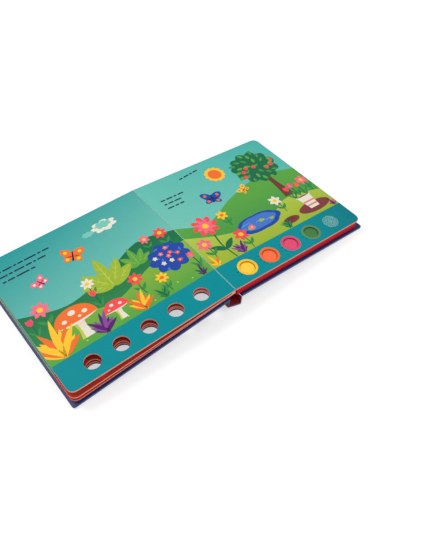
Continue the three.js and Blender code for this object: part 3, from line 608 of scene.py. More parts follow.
class Effects:
    """Shared effects as node groups, each made on first use."""

    def _group(self, name: str, inputs: dict[str, float | None], *outputs: str) -> tuple[Graph, Any, Any]:
        """Opens a new group.

        Args:
            name: Name of the group.
            inputs: Default of each number, or None for a vector.
            *outputs: Names of the outputs, all numbers but one named Normal.

        Returns:
            The graph, the outputs of its start and its end node.
        """
        tree = bpy.data.node_groups.new(name, "ShaderNodeTree")
        kinds = [(title, "INPUT", default is None) for title, default in inputs.items()]
        kinds += [(title, "OUTPUT", title == "Normal") for title in outputs]
        for title, way, is_vector in kinds:
            kind = "NodeSocketVector" if is_vector else "NodeSocketFloat"
            socket = tree.interface.new_socket(name=title, in_out=way, socket_type=kind)
            if inputs.get(title) is not None:
                socket.default_value = inputs[title]
        graph = Graph(tree)
        return graph, graph.node("NodeGroupInput").outputs, graph.node("NodeGroupOutput")

    @cached_property
    def page_place(self) -> bpy.types.NodeTree:
        """Page coordinates of a point of the row frame, in millimetres, by projection on three axes."""
        g, at, end = self._group("PagePlace", {"Point": None, "Origin": None, "Along": None, "Upright": None},
                                 "Distance", "Inward", "Height")
        offset = g.vector("SUBTRACT", at["Point"], at["Origin"])
        axes = {"Distance": at["Along"], "Inward": (0.0, 1.0, 0.0), "Height": at["Upright"]}
        g.feed(end, {title: g.times(g.dot(offset, axis), 1 / MM) for title, axis in axes.items()})
        return g.tree

    @cached_property
    def weave(self) -> bpy.types.NodeTree:
        """Small dots on a diagonal lattice: the product of two sines along the diagonals."""
        g, at, end = self._group("DottedWeave", {"Point": None, "Pitch": 1.7}, "Dots")
        split = g.split(at["Point"])
        turns = g.math("DIVIDE", 2 * math.pi, at["Pitch"])
        diagonals = [g.math(way, split[0], split[1]) for way in ("ADD", "SUBTRACT")]
        waves = [g.math("SINE", g.times(diagonal, turns)) for diagonal in diagonals]
        g.feed(end, {"Dots": g.ramp(g.times(*waves), 0.25, 0.6)})
        return g.tree

    @cached_property
    def grain(self) -> bpy.types.NodeTree:
        """Fine uneven tone: fibres at two sizes, as a value about one and as a surface normal."""
        g, at, end = self._group("FineGrain", {"Point": None, "Scale": 900.0, "Depth": 0.05, "Relief": 0.1},
                                 "Tone", "Noise", "Normal")
        fine = g.noise(at["Point"], at["Scale"], 5.0, 0.6)
        broad = g.noise(at["Point"], g.times(at["Scale"], 0.06), 2.0)
        both = g.math("ADD", g.times(fine, 0.6), g.times(broad, 0.4))
        swing = g.times(g.math("SUBTRACT", both, 0.5), at["Depth"])
        g.feed(end, {"Tone": g.math("ADD", g.times(swing, 4.0), 1.0), "Noise": both,
                     "Normal": g.bump(fine, at["Relief"], 0.0004)})
        return g.tree

    @cached_property
    def plies(self) -> bpy.types.NodeTree:
        """Fine lines of pressed board along a cut edge, wavering with a noise."""
        g, at, end = self._group("BoardPlies", {"Point": None, "Height": 0.0, "Pitch": 0.42}, "Lines")
        waver = g.times(g.noise(at["Point"], 160.0, 3.0), 0.5)
        level = g.times(g.math("ADD", at["Height"], waver), 2 * math.pi)
        wave = g.math("SINE", g.math("DIVIDE", level, at["Pitch"]))
        g.feed(end, {"Lines": g.math("MULTIPLY_ADD", wave, 0.5, 0.5)})
        return g.tree

    @cached_property
    def frame_mask(self) -> bpy.types.NodeTree:
        """Mask that rises to one near the outline of a rectangle in page coordinates."""
        g, at, end = self._group("EdgeFrame", {"Distance": 0.0, "Inward": 0.0, "Far": 200.0, "Near End": 0.0,
                                               "Far End": 197.0, "Width": 1.0}, "Mask")
        sides = (("Far", "Distance"), ("Inward", "Near End"), ("Far End", "Inward"))
        gaps = [g.math("SUBTRACT", at[outer], at[inner]) for outer, inner in sides]
        least = g.math("MINIMUM", g.math("MINIMUM", gaps[0], gaps[1]), gaps[2])
        g.feed(end, {"Mask": g.ramp(least, at["Width"], 0.0)})
        return g.tree


EFFECTS = Effects()


class Shader(Graph):
    """The graph of a material, with its shader and its output.

    Attributes:
        shader: The Principled shader.
        output: The output node.
        at: Place and normal on the object, as outputs named Object and Normal.
    """

    def __init__(self, tree: bpy.types.NodeTree, constants: Feeds) -> None:
        """Lays the shader with its constants, and the output."""
        super().__init__(tree)
        self.shader = self.node("ShaderNodeBsdfPrincipled", constants)
        self.output = self.node("ShaderNodeOutputMaterial", {"Surface": self.shader.outputs[0]})
        self.at = self.node("ShaderNodeTexCoord").outputs

    def page(self, half: HalfFrame) -> Any:
        """Returns page coordinates in millimetres, as outputs named Distance, Inward and Height."""
        axes = {"Origin": half.origin(), "Along": half.along(), "Upright": half.upright()}
        return self.group(EFFECTS.page_place, {"Point": self.at["Object"], **axes})


@dataclass(frozen=True)
class Finish:
    """A named surface finish; each kind lays out its own nodes.

    Attributes:
        name: Name of the material.
        colour: Main colour, linear.
        roughness: Roughness of the surface.
        specular: Strength of its plain reflection.
        metallic: One for a metal.
        coat: Weight of a clear coat.
        scale: Grain per unit of the pattern's place.
        depth: Swing of the tone.
        relief: Strength of the grain's relief.
    """

    name: str
    colour: Colour = (0.8, 0.8, 0.8)
    roughness: float = 0.5
    specular: float = 0.5
    metallic: float = 0.0
    coat: float = 0.0
    scale: float = 900.0
    depth: float = 0.06
    relief: float = 0.1

    def material(self) -> bpy.types.Material:
        """Returns the material, made on first use."""
        known = bpy.data.materials.get(self.name)
        if known is not None:
            return known
        made = bpy.data.materials.new(self.name)
        made.use_nodes = True
        made.node_tree.nodes.clear()
        self.lay(Shader(made.node_tree, {"Roughness": self.roughness, "Specular IOR Level": self.specular,
                                         "Metallic": self.metallic, "Coat Weight": self.coat}))
        made.diffuse_color = (*self.colour, 1.0)
        return made

    def lay(self, g: Shader) -> None:
        """Feeds the shader; a plain finish has a grained colour."""
        self.grained(g, g.at["Object"], self.colour)

    def grained(self, g: Shader, point: Any, colour: Any) -> Socket:
        """Feeds a colour with fine grain and its relief to the shader.

        Args:
            g: The material's graph.
            point: Place of the pattern.
            colour: Colour before the grain.

        Returns:
            The noise of the grain, about one half.
        """
        grain = g.group(EFFECTS.grain, {
            "Point": point, "Scale": self.scale, "Depth": self.depth, "Relief": self.relief})
        g.feed(g.shader, {"Base Color": g.shade(colour, grain["Tone"]), "Normal": grain["Normal"]})
        return grain["Noise"]


@dataclass(frozen=True)
class PrintedPaper(Finish):
    """Coated print: the ink at each point, the strip's dotted pattern, and paper fibre.

    Attributes:
        dot: Colour towards which the dots go.
        dot_lift: How far they go.
        density: Strength of the inks.
    """

    specular: float = 0.09
    scale: float = 1.4
    depth: float = 0.035
    relief: float = 0.02
    dot: Colour = linear(20, 190, 192)
    dot_lift: float = 0.30
    density: float = 0.84

    def lay(self, g: Shader) -> None:
        """Mixes ink and dots, then adds fibre and an uneven varnish."""
        ink, share = g.attribute("Ink", "Color"), g.attribute("Weave", "Fac")
        page = g.attribute("Page", "Vector")
        dots = g.times(g.group(EFFECTS.weave, {"Point": page})["Dots"], share)
        colour = g.mix(dots, ink, g.mix(self.dot_lift, ink, self.dot))
        noise = self.grained(g, page, g.shade(colour, self.density))
        g.feed(g.shader, {"Roughness": g.ramp(noise, 0.35, 0.65, 0.42, 0.54)})


@dataclass(frozen=True)
class BoardLeaf(Finish):
    """A leaf of printed board: print on its faces, plies on its cut edges, other prints inside a fan.

    Attributes:
        half: The half of the book the leaf lies on.
        top: Print on the page, seen only where the sheet leaves it bare.
        edge: Colour of the cut edge.
        warm_edge: Colour of the cut edge beside the strip.
        ply: Colour of the lines in the cut edge.
        inner: Print inside the fan.
        inner_strip: Print inside the fan beside the strip.
        page_depth: Depth to which a face counts as the page, in millimetres.
    """

    specular: float = 0.15
    scale: float = 1100.0
    depth: float = 0.05
    relief: float = 0.04
    half: HalfFrame = RIGHT
    top: Colour = Ink.TEAL.linear()
    edge: Colour = linear(196, 200, 178)
    warm_edge: Colour = linear(232, 150, 130)
    ply: Colour = linear(150, 110, 92)
    inner: Colour = linear(88, 150, 112)
    inner_strip: Colour = linear(204, 44, 34)
    page_depth: float = 0.3

    def lay(self, g: Shader) -> None:
        """Chooses between face, inner face and cut edge by the surface's own normal."""
        at, page = g.at, g.page(self.half)
        by_strip = g.ramp(page["Inward"], PAGE.strip + 1.0, PAGE.strip - 1.0)
        lines = g.group(EFFECTS.plies, {"Point": at["Object"], "Height": page["Height"]})["Lines"]
        edge = g.mix(g.times(lines, 0.25), g.mix(by_strip, self.edge, self.warm_edge), self.ply)
        is_top = g.math("GREATER_THAN", page["Height"], -self.page_depth)
        face = g.mix(is_top, g.mix(by_strip, self.inner, self.inner_strip), self.top)
        level = g.math("ABSOLUTE", g.dot(at["Normal"], tuple(self.half.upright())))
        is_edge = g.math("LESS_THAN", level, 0.6)
        self.grained(g, at["Object"], g.mix(is_edge, face, edge))


@dataclass(frozen=True)
class CoverLaminate(Finish):
    """Cover board wrapped in glossy paper, with a painted highlight along its edges.

    Attributes:
        half: The half of the book the board belongs to.
        outline: Fore-edge, near end and far end of the board, and the width of the painted highlight.
        painted_highlight: Colour of the painted highlight along the edge.
    """

    specular: float = 0.3
    coat: float = 0.12
    scale: float = 700.0
    relief: float = 0.02
    half: HalfFrame = RIGHT
    outline: tuple[float, float, float, float] = (203.0, -3.0, 200.0, 0.6)
    painted_highlight: Colour = linear(84, 112, 176)

    def lay(self, g: Shader) -> None:
        """Paints a highlight near the board's outline and breaks it with noise."""
        point, page = g.at["Object"], g.page(self.half)
        places = {"Distance": page["Distance"], "Inward": page["Inward"]}
        sizes = dict(zip(("Far", "Near End", "Far End", "Width"), self.outline))
        mask = g.group(EFFECTS.frame_mask, {**places, **sizes})
        # painted highlight: a lighter blue near the outline, in uneven patches, stands in for light on the
        # edges
        highlight_share = g.ramp(g.noise(point, 220.0, 4.0), 0.3, 0.7, 0.18, 0.32)
        painted_highlight = g.mix(g.times(mask["Mask"], highlight_share), self.colour, self.painted_highlight)
        noise = self.grained(g, point, painted_highlight)
        g.feed(g.shader, {"Roughness": g.ramp(noise, 0.3, 0.7, 0.4, 0.55), "Coat Roughness": 0.3})


@dataclass(frozen=True)
class HingeWrap(Finish):
    """Hinge strip or spine: wrap outside, red lining inside, creased along the fold.

    Attributes:
        lining: Colour of the side that looks into the case.
        outward: Direction of the other side.
    """

    scale: float = 1500.0
    depth: float = 0.12
    relief: float = 0.25
    lining: Colour = linear(132, 12, 14)
    outward: Point = (0.0, 0.0, -1.0)

    def lay(self, g: Shader) -> None:
        """Uses the lining where the surface looks into the case, with creases as stretched noise."""
        at = g.at
        inside = g.math("LESS_THAN", g.dot(at["Normal"], self.outward), -0.3)
        stretched = g.vector("MULTIPLY", at["Object"], (1.0, 0.08, 1.0))
        self.grained(g, stretched, g.mix(inside, self.colour, self.lining))


@dataclass(frozen=True)
class PressedBoard(Finish):
    """Thick coloured board, with layers along its walls.

    Attributes:
        line: Colour between the layers.
        pitch: Thickness of a layer, in millimetres.
    """

    specular: float = 0.12
    depth: float = 0.1
    relief: float = 0.08
    line: Colour = linear(120, 8, 14)
    pitch: float = 1.5

    def lay(self, g: Shader) -> None:
        """Darkens thin lines between the layers."""
        point, height = g.at["Object"], g.page(RIGHT)["Height"]
        plies = g.group(EFFECTS.plies, {"Point": point, "Height": height, "Pitch": self.pitch})
        thin = g.times(g.math("POWER", plies["Lines"], 8.0), 0.5)
        self.grained(g, point, g.mix(thin, self.colour, self.line))


@dataclass(frozen=True)
class Moulded(Finish):
    """Moulded plastic with a fine spark texture and a soft coat."""

    specular: float = 0.25
    coat: float = 0.2
    scale: float = 2600.0
    depth: float = 0.05
    relief: float = 0.12

    def lay(self, g: Shader) -> None:
        """Feeds a grained colour and an uneven roughness."""
        noise = self.grained(g, g.at["Object"], self.colour)
        span = (self.roughness - 0.08, self.roughness + 0.08)
        g.feed(g.shader, {"Roughness": g.ramp(noise, 0.3, 0.7, *span)})


@dataclass(frozen=True)
class RibbedPlastic(Moulded):
    """Moulded plastic with finger ribs across one end of the piece.

    Attributes:
        start: Where the ribs begin along x, in metres.
        end: Where they stop.
        pitch: Step from rib to rib, in metres.
    """

    start: float = 0.05
    end: float = 0.07
    pitch: float = 0.0016

    def lay(self, g: Shader) -> None:
        """Adds the ribs to the relief of the moulded finish."""
        super().lay(g)
        x = g.split(g.at["Object"])[0]
        wave = g.math("SINE", g.times(x, 2 * math.pi / self.pitch))
        inside = g.times(g.math("GREATER_THAN", x, self.start), g.math("LESS_THAN", x, self.end))
        earlier = g.shader.inputs["Normal"].links[0].from_socket
        g.feed(g.shader, {"Normal": g.bump(g.times(wave, inside), 0.8, 0.0003, Normal=earlier)})


@dataclass(frozen=True)
class ScrewSteel(Finish):
    """Bright screw with painted shade in the cross of its head.

    Attributes:
        centre: Middle of the head in the row frame, in metres.
        arm: Half length of the cross.
        width: Half width of its arms.
        recess: Colour of the cross, painted shade for its slot.
    """

    metallic: float = 1.0
    scale: float = 2500.0
    depth: float = 0.08
    centre: tuple[float, ...] = (0.0, 0.0, 0.0)
    arm: float = 0.0015
    width: float = 0.00032
    recess: Colour = linear(24, 24, 26)

    def lay(self, g: Shader) -> None:
        """Darkens two crossed bars on the faces that look down, as painted shade in the slot."""
        at = g.at
        split = g.split(g.vector("SUBTRACT", at["Object"], self.centre))
        x, y = (g.math("ABSOLUTE", split[i]) for i in (0, 1))
        reach = g.math("LESS_THAN", g.math("MAXIMUM", x, y), self.arm)
        thin = g.math("LESS_THAN", g.math("MINIMUM", x, y), self.width)
        down = g.math("LESS_THAN", g.dot(at["Normal"], (0.0, 0.0, 1.0)), -0.8)
        # painted shade: the cross slot is coloured near black in place of the shade inside it
        cross = g.times(g.times(reach, thin), down)
        self.grained(g, at["Object"], g.mix(cross, self.colour, self.recess))


@dataclass(frozen=True)
class Metal(Finish):
    """Rolled metal with fine streaks along one direction."""

    metallic: float = 1.0
    scale: float = 3000.0
    depth: float = 0.1
    relief: float = 0.15

    def lay(self, g: Shader) -> None:
        """Stretches the grain into streaks."""
        stretched = g.vector("MULTIPLY", g.at["Object"], (0.1, 1.0, 1.0))
        noise = self.grained(g, stretched, self.colour)
        g.feed(g.shader, {"Roughness": g.ramp(noise, 0.3, 0.7, 0.2, 0.4)})


@dataclass(frozen=True)
class SolderMask(Finish):
    """Circuit board: green mask over copper tracks, drawn as broken stripes.

    Attributes:
        track: Colour of the tracks.
        stripes: Turns of the stripes per metre, in radians.
    """

    scale: float = 1200.0
    depth: float = 0.05
    relief: float = 0.05
    track: Colour = linear(60, 150, 90)
    stripes: float = 2600.0

    def lay(self, g: Shader) -> None:
        """Lightens narrow stripes along the board, broken into lengths."""
        point = g.at["Object"]
        rows = g.math("SINE", g.times(g.split(point)[1], self.stripes))
        breaks = g.ramp(g.noise(point, 60.0, 0.0), 0.48, 0.52)
        tracks = g.times(g.ramp(rows, 0.55, 0.7), breaks)
        self.grained(g, point, g.mix(tracks, self.colour, self.track))


@dataclass(frozen=True)
class StageFloor(Finish):
    """Plain pale floor that glows a little and can't be seen from below."""

    specular: float = 0.0
    glow: float = 0.56

    def lay(self, g: Shader) -> None:
        """Adds the glow, and leaves the back of the floor clear."""
        g.feed(g.shader, {"Base Color": (*self.colour, 1.0), "Emission Color": WHITE,
                            "Emission Strength": self.glow})
        clear = g.node("ShaderNodeBsdfTransparent").outputs[0]
        behind = g.node("ShaderNodeNewGeometry").outputs["Backfacing"]
        choice = g.node("ShaderNodeMixShader", {0: behind, 1: g.shader.outputs[0], 2: clear})
        g.feed(g.output, {"Surface": choice.outputs[0]})


NAVY = linear(22, 34, 88)


class Finishes:
    """Every finish of the book."""

    sheet = PrintedPaper("printed_sheet")
    left_leaf = BoardLeaf("left_leaf_board", half=LEFT)
    right_leaf = BoardLeaf("right_leaf_board", half=RIGHT, warm_edge=linear(214, 150, 128),
                           edge=linear(190, 200, 172))
    front_cover = CoverLaminate("front_cover_wrap", NAVY, 0.45, half=LEFT)
    back_cover = CoverLaminate("back_cover_wrap", NAVY, 0.45, half=RIGHT)
    spine = HingeWrap("spine_wrap", NAVY, 0.5)
    back_strip = HingeWrap("back_strip_wrap", NAVY, 0.5, outward=(1.0, 0.0, 0.0))
    front_strip = HingeWrap("front_strip_wrap", NAVY, 0.5, outward=(-1.0, 0.0, 0.0))
    block = PressedBoard("red_block_board", linear(188, 16, 30), 0.6)
    case = Moulded("module_case_plastic", linear(228, 226, 216), 0.45)
    dark = Moulded("dark_plastic", linear(26, 26, 28), 0.5)
    mask = SolderMask("circuit_board", linear(20, 96, 56), 0.35)
    steel = Metal("steel", linear(196, 198, 202), 0.3)
    gold = Metal("gold_plate", linear(226, 184, 92), 0.25)
    pad = Moulded("conductive_pad", linear(34, 34, 36), 0.8, coat=0.0)
    cone = Moulded("speaker_cone_paper", linear(64, 60, 56), 0.85, coat=0.0, relief=0.4)
    red_wire = Moulded("red_sheath", linear(190, 28, 30), 0.35)
    black_wire = Moulded("black_sheath", linear(22, 22, 24), 0.35)
    door = RibbedPlastic("battery_door_plastic", linear(34, 46, 104), 0.42, relief=0.2,
                         start=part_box("battery_door")[0].x + 0.002, end=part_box("battery_door")[0].x + 0.012)
    screw = ScrewSteel("screw_steel", linear(196, 198, 202), 0.3,
                       centre=tuple(sum(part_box("door_screw"), Vector()) / 2))
    next_leaf = Moulded("next_leaf_red", linear(206, 40, 34), 0.4)
    floor = StageFloor("stage_floor", (0.5, 0.5, 0.5), 0.9)


def finish_node(name: str, finish: Finish) -> None:
    """Gives a CAD node its finish."""
    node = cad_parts[name]
    node.data.materials.clear()
    node.data.materials.append(finish.material())
    log.info("finished %s", name)


@dataclass
class Sheet:
    """Print on one page: flat grids laid in thin layers over the paper.

    Attributes:
        half: The half of the book.
        name: Name of the piece.
        body: Body that carries it.
        lift: Height of the lowest layer over the paper, in millimetres.
    """

    half: HalfFrame
    name: str
    body: str
    lift: float = 0.05
    surface: Surface = field(default_factory=Surface)

    def lay(self, grid: Grid, ink: Ink | Grid, layer: float = 1, weave: float = 0.0,
            trimmed: bool = True) -> None:
        """Lays a flat grid of page coordinates on the page.

        Args:
            grid: Points as (distance, inward).
            ink: An ink, or a colour for every point.
            layer: Layer above the paper.
            weave: Share of the dotted pattern.
            trimmed: Whether the grid stops at the page's outline.
        """
        if trimmed:
            grid = np.clip(grid, PAGE.margin, [PAGE.width - PAGE.margin, PAGE.height - PAGE.margin])
        page = raised(grid, self.lift + PAGE.step * layer)
        colour = ink.linear() if isinstance(ink, Ink) else ink
        self.surface.add(self.half.place(page), self.half.upright(), colour, weave, page)

    def wash(self, grid: Grid, low: Ink, high: Ink, share: Grid, layer: float, weave: float = 0.0) -> None:
        """Lays a grid whose ink runs between two inks by a share at each point."""
        part = np.clip(share, 0, 1)[..., None]
        self.lay(grid, np.array(low.linear()) * (1 - part) + np.array(high.linear()) * part, layer, weave)

    def ground(self, crest: Sequence[Place], low: Ink, high: Ink, layer: float) -> None:
        """Lays rolling ground from the strip up to a crest given in page coordinates."""
        top = curve([(np.clip(a, PAGE.margin, PAGE.width - PAGE.margin), b) for a, b in crest], 60)
        grid = between(level_line(top[:, 0], PAGE.strip + PAGE.strip_gap), top, 6)
        self.wash(grid, low, high, (grid[..., 1] - GROUND_WASH[0]) / GROUND_WASH[1], layer)

    def blades(self, x: float, inks: Sequence[Ink], count: int, height: float) -> None:
        """A tuft of leaves fanned round one foot at the strip."""
        for i, turn in enumerate(spread(-TUFT_FAN, TUFT_FAN, count)):
            size = height * (1 - 0.3 * abs(turn) / TUFT_FAN) * (0.86 + 0.14 * (i % 3))
            blade = leaf(x + turn * 0.05, PAGE.strip + 1, 90 + turn, size, height * 0.17,
                         0.12 * math.copysign(1, turn))
            self.lay(blade, inks[i % len(inks)], 7 + 0.3 * (i % 3))

    def fern(self, x: float, y: float, height: float, ink: Ink, vein: Ink, layer: float) -> None:
        """A leafy plant: broad leaves fanned round one foot, each with a mid vein and side veins."""
        for i, turn in enumerate((-64, 62, -36, 34, 0)):
            size, way, level = height * (1 - 0.25 * abs(turn) / 64), 90 + turn, layer + 0.08 * i
            self.lay(leaf(x, y, way, size, 0.3 * height, 0.0, 0.7, 16), ink, level)
            mid_vein = [ray(x, y, way, t * size) for t in (0.05, 0.5, 0.93)]
            self.lay(ribbon(mid_vein, 0.03 * height, 0.7, 8), vein, level + 0.05)
            for t, side in product((0.25, 0.42, 0.6), (-1, 1)):
                start = ray(x, y, way, t * size)
                branch = [ray(*start, way + side * 43, q * height) for q in (0, 0.065, 0.13)]
                self.lay(ribbon(branch, 0.018 * height, 0.6, 4), vein, level + 0.06)

    def bloom(self, x: float, y: float, size: float, petals: int, ink: Ink, heart: Ink, layer: float,
              stem: float = 0.0) -> None:
        """A flower of separate petals round a heart, with an optional stem and two leaves."""
        if stem > 0:
            stalk = [(x, y), (x + 1.2, y - stem / 2), (x, y - stem)]
            self.lay(ribbon(stalk, 1.3, 0.2), Ink.FOREST, layer - 0.6)
            for side in (-1, 1):
                self.lay(leaf(x + 0.8, y - 0.75 * stem, 90 - side * 48, 0.45 * stem, 0.16 * stem, side * 0.1),
                         Ink.LEAF, layer - 0.4)
        for i in range(petals):
            petal = leaf(x, y, 360 * i / petals + 12, size, size * 3.4 / petals, 0, 0.6, 8)
            self.lay(petal, ink, layer + 0.2 * (i % 2))
        self.lay(disc(x, y, size * 0.3, 6), heart, layer + 0.6)

    def flowers(self, petals: int, stem: float, *places: tuple[float, float, float, Ink]) -> None:
        """Flowers of (distance, inward, size, ink), with stems of a share of their size."""
        for x, y, size, ink in places:
            heart = Ink.ORANGE if ink is Ink.YELLOW else Ink.YELLOW
            self.bloom(x, y, size, petals, ink, heart, 5, stem * size)

    def tulip(self, x: float, y: float, ink: Ink, shade: Ink, layer: float, size: float = 8.5) -> None:
        """A tulip of three petals on a stem with long leaves."""
        self.lay(ribbon([(x, y), (x - 0.8, y - size), (x, y - 2.2 * size)], 1.4), Ink.FOREST, layer - 0.6)
        for side in (-1, 1):
            blade = leaf(x, y - 2.1 * size, 90 - side * 24, 1.6 * size, 0.34 * size, -side * 0.12)
            self.lay(blade, Ink.LEAF, layer)
            self.lay(leaf(x, y - 0.1 * size, 90 - side * 20, 1.1 * size, 0.5 * size), shade, layer + 0.3)
        self.lay(leaf(x, y - 0.15 * size, 90, 1.1 * size, 0.6 * size), ink, layer + 0.6)

    def pot(self, x: float, foot: float, size: float) -> None:
        """A cream flower pot with bands and a rim, tulips in it, on an oval of bare earth.

        Args:
            x: Distance of its middle from the gutter.
            foot: Its foot inward from the near edge.
            size: Height of the pot.
        """
        self.lay(disc(x, foot + 2, 0.92 * size, 16, 0.36), Ink.MAUVE, 3.2)
        for k, (lean, ink) in enumerate(((-9, Ink.CORAL), (0, Ink.PINK), (9, Ink.ORANGE))):
            self.tulip(x + lean, foot + 1.62 * size - 3 * abs(k - 1), ink, Ink.MAGENTA, 4)
        t = spread(0, 1, 12)
        self.lay(column(x, size * (0.26 + 0.12 * t), foot + 0.8 * size * t, 5), Ink.CREAM, 5)
        for k in (0.2, 0.5):
            half, low, high = size * (0.26 + 0.12 * k), foot + 0.8 * size * k, foot + 0.8 * size * (k + 0.12)
            self.lay(panel(x - half, x + half, low, high, 6, 2), Ink.SALMON, 5.3)
        self.lay(disc(x, foot + 0.84 * size, 0.44 * size, 12, 0.16), Ink.CREAM, 5.5)
        self.lay(disc(x, foot + 0.86 * size, 0.38 * size, 10, 0.1), Ink.MAUVE, 5.8)

    def butterfly(self, x: float, y: float, size: float, ink: Ink, spot: Ink, turn: float) -> None:
        """Four wings and a slim body, seen from above."""
        for side, (angle, length) in product((-1, 1), ((38, size), (-34, 0.72 * size))):
            way = turn + 90 - side * (90 - angle)
            self.lay(leaf(x, y, way, length, 0.62 * length, 0, 0.5, 9), ink, 5)
            self.lay(disc(*ray(x, y, way, 0.6 * length), 0.13 * size, 4), spot, 5.3)
        body = [ray(x, y, turn + 90, t * size) for t in (-0.4, 0.0, 0.42)]
        self.lay(ribbon(body, 0.13 * size, 0.4, 7), Ink.INDIGO, 5.5)

    def toadstool(self, x: float, foot: float, size: float, ink: Ink,
                  *spots: tuple[float, float, float]) -> None:
        """A domed cap over a waisted stem, with gills, a skirt and round spots.

        Args:
            x: Distance of its middle from the gutter.
            foot: Its foot inward from the near edge.
            size: Half the width of the cap.
            ink: Ink of the cap.
            *spots: Each spot's place and radius, as shares of the size.
        """
        t = spread(0, 1, 20)
        waist = np.interp(t, [0, 0.45, 1], [0.3, 0.2, 0.28]) * size
        rise = foot + 1.12 * size * t
        stem = column(x, waist, rise, 6)
        self.wash(stem, Ink.CREAM, Ink.SALMON, np.tile(t[None] ** 3 * 0.5, (6, 1)), 3)
        self.lay(between(np.stack([x + 0.45 * waist, rise], -1), stem[-1], 3), Ink.LIME_PALE, 3.2)
        u = spread(0, 1, 28)
        swell = size * u * (1 - u)
        brim = np.stack([x + size * (2 * u - 1), foot + size - 0.6 * swell], -1)
        dome_x = -(1 - u) ** 3 - 3 * (1 - u) ** 2 * u + 3 * (1 - u) * u ** 2 + u ** 3
        dome = np.stack([x + size * dome_x, foot + size + 3.3 * swell], -1)
        self.lay(between(brim, dome, 10), ink, 4)
        self.lay(between(brim, brim + np.stack([0 * u, 0.42 * swell], -1), 3), Ink.CREAM, 4.3)
        for a, b, r in spots:
            self.lay(disc(x + a * size, foot + b * size, r * size, 6, 0.8), Ink.CREAM, 4.6)

    def bars(self, x: float, y: float, lengths: Sequence[float], slope: float = 0.0) -> None:
        """A row of plain bars where a line of words would stand.

        Args:
            x: Where the row starts for the reader, as distance times side.
            y: The row inward from the near edge.
            lengths: Lengths of the bars.
            slope: Rise of the row per millimetre.
        """
        run = 0.0
        for length in lengths:
            ends = (run, run + length / 2, run + length)
            places = [((x + q) * self.half.side, y + slope * q) for q in ends]
            self.lay(ribbon(places, 1.8, 0.0, 5), Ink.INDIGO, 6)
            run += length + 2.0

    def strip(self, rims: Sequence[Ink | None], grille: int | None = None) -> None:
        """The band along the near edge, in cells round its holes, with rings and small marks.

        Args:
            rims: Ink of the ring round each hole, or None.
            grille: Place in the row that holds the grille.
        """
        far = PAGE.width - PAGE.corner
        ends = ((PAGE.margin, PAGE.hole(-0.5)), (PAGE.hole(PAGE.holes - 0.5), far))
        for x0, x1 in ends:
            self.strip_wash(panel(x0, x1, PAGE.margin, PAGE.strip, 12, 8))
        for i, rim in enumerate(rims):
            x, x1 = PAGE.hole(i), min(PAGE.hole(i + 0.5), far)
            radius = PAGE.grille_radius + PAGE.bleed if i == grille else PAGE.hole_radius - PAGE.bleed
            frame_line = outline(PAGE.hole(i - 0.5), x1, PAGE.margin, PAGE.strip, 16)
            self.strip_wash(holed(np.array([x, PAGE.row]), radius, frame_line, 4))
            if rim is not None:
                self.ring(x, rim)
        u, r = spread(0, math.pi / 2, 14), PAGE.corner - PAGE.margin
        low = np.stack([far + r * np.sin(u), PAGE.corner - r * np.cos(u)], -1)
        self.strip_wash(between(low, level_line(low[:, 0], PAGE.strip), 8))

    def ring(self, x: float, ink: Ink) -> None:
        """A ring round a hole, carried down its wall with painted shade that deepens with depth, with marks
        beside it.
        """
        inner = PAGE.hole_radius - PAGE.ring_bleed
        self.lay(annulus(x, PAGE.row, inner, PAGE.hole_radius + PAGE.ring, 72, 3), ink, 2)
        levels = spread(self.lift + 2 * PAGE.step, -PAGE.ring_depth, 4)
        level, angle = np.meshgrid(levels, spread(0, 2 * math.pi, 73), indexing="ij")
        page = np.stack([x + inner * np.cos(angle), PAGE.row + inner * np.sin(angle), level], -1)
        # painted shade: the ink on the hole's wall falls from 0.85 to 0.55 of its colour going down
        colour = np.array(ink.linear()) * spread(0.85, 0.55, 4)[:, None, None] * np.ones(page.shape)
        self.surface.add(self.half.place(page), None, colour, 0.0, page)
        for k in (-1, 0, 1):
            near, away = PAGE.hole_radius + 3.8, PAGE.hole_radius + 6.0 + 0.6 * (k == 0)
            mark = [ray(x, PAGE.row, 180 + 22 * k, q) for q in (near, (near + away) / 2, away)]
            self.lay(ribbon(mark, 0.9, 0.4, 5), Ink.TEAL_SHADE, 1.6)

    def strip_wash(self, grid: Grid) -> None:
        """Lays part of the strip, darker towards the right page's fore-edge."""
        share = (grid[..., 0] * self.half.side - STRIP_WASH[0]) / STRIP_WASH[1]
        self.wash(grid, Ink.TEAL, Ink.TEAL_DARK, share, 1, 1.0)

    def sky(self, low: Ink, high: Ink, axis: float) -> None:
        """The ground colour of the whole picture, with rounded outer corners, and the crease.

        Args:
            low: Ink at the foot.
            high: Ink at the top.
            axis: How far the wash runs along the page and not up it.
        """
        u, r = spread(0, math.pi / 2, 14), PAGE.corner - PAGE.margin
        far, top = PAGE.width - PAGE.corner, PAGE.height - PAGE.corner
        x = np.concatenate([spread(PAGE.margin, far, 30)[:-1], far + r * np.sin(u)])
        y = np.concatenate([np.full(29, top + r), top + r * np.cos(u)])
        grid = between(level_line(x, PAGE.strip + PAGE.strip_gap), np.stack([x, y], -1), 24)
        share = (grid[..., 1] - SKY_WASH[0]) / SKY_WASH[1] * (1 - axis) + axis * grid[..., 0] / PAGE.width
        self.wash(grid, low, high, share, 0)
        crease = panel(0.12, 0.42, PAGE.margin, PAGE.height - PAGE.margin, 2, 30)
        self.lay(crease, Ink.CREASE, 9, trimmed=False)

    def build(self, *replaced: str) -> None:
        """Builds the sheet, gives it thickness and puts it in place of the CAD films."""
        made = self.surface.build(self.name, Finishes.sheet.material())
        solid = made.modifiers.new("paper", "SOLIDIFY")
        solid.thickness, solid.offset = PAGE.film * MM, -1.0
        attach(made, self.body)
        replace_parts(made, *replaced)


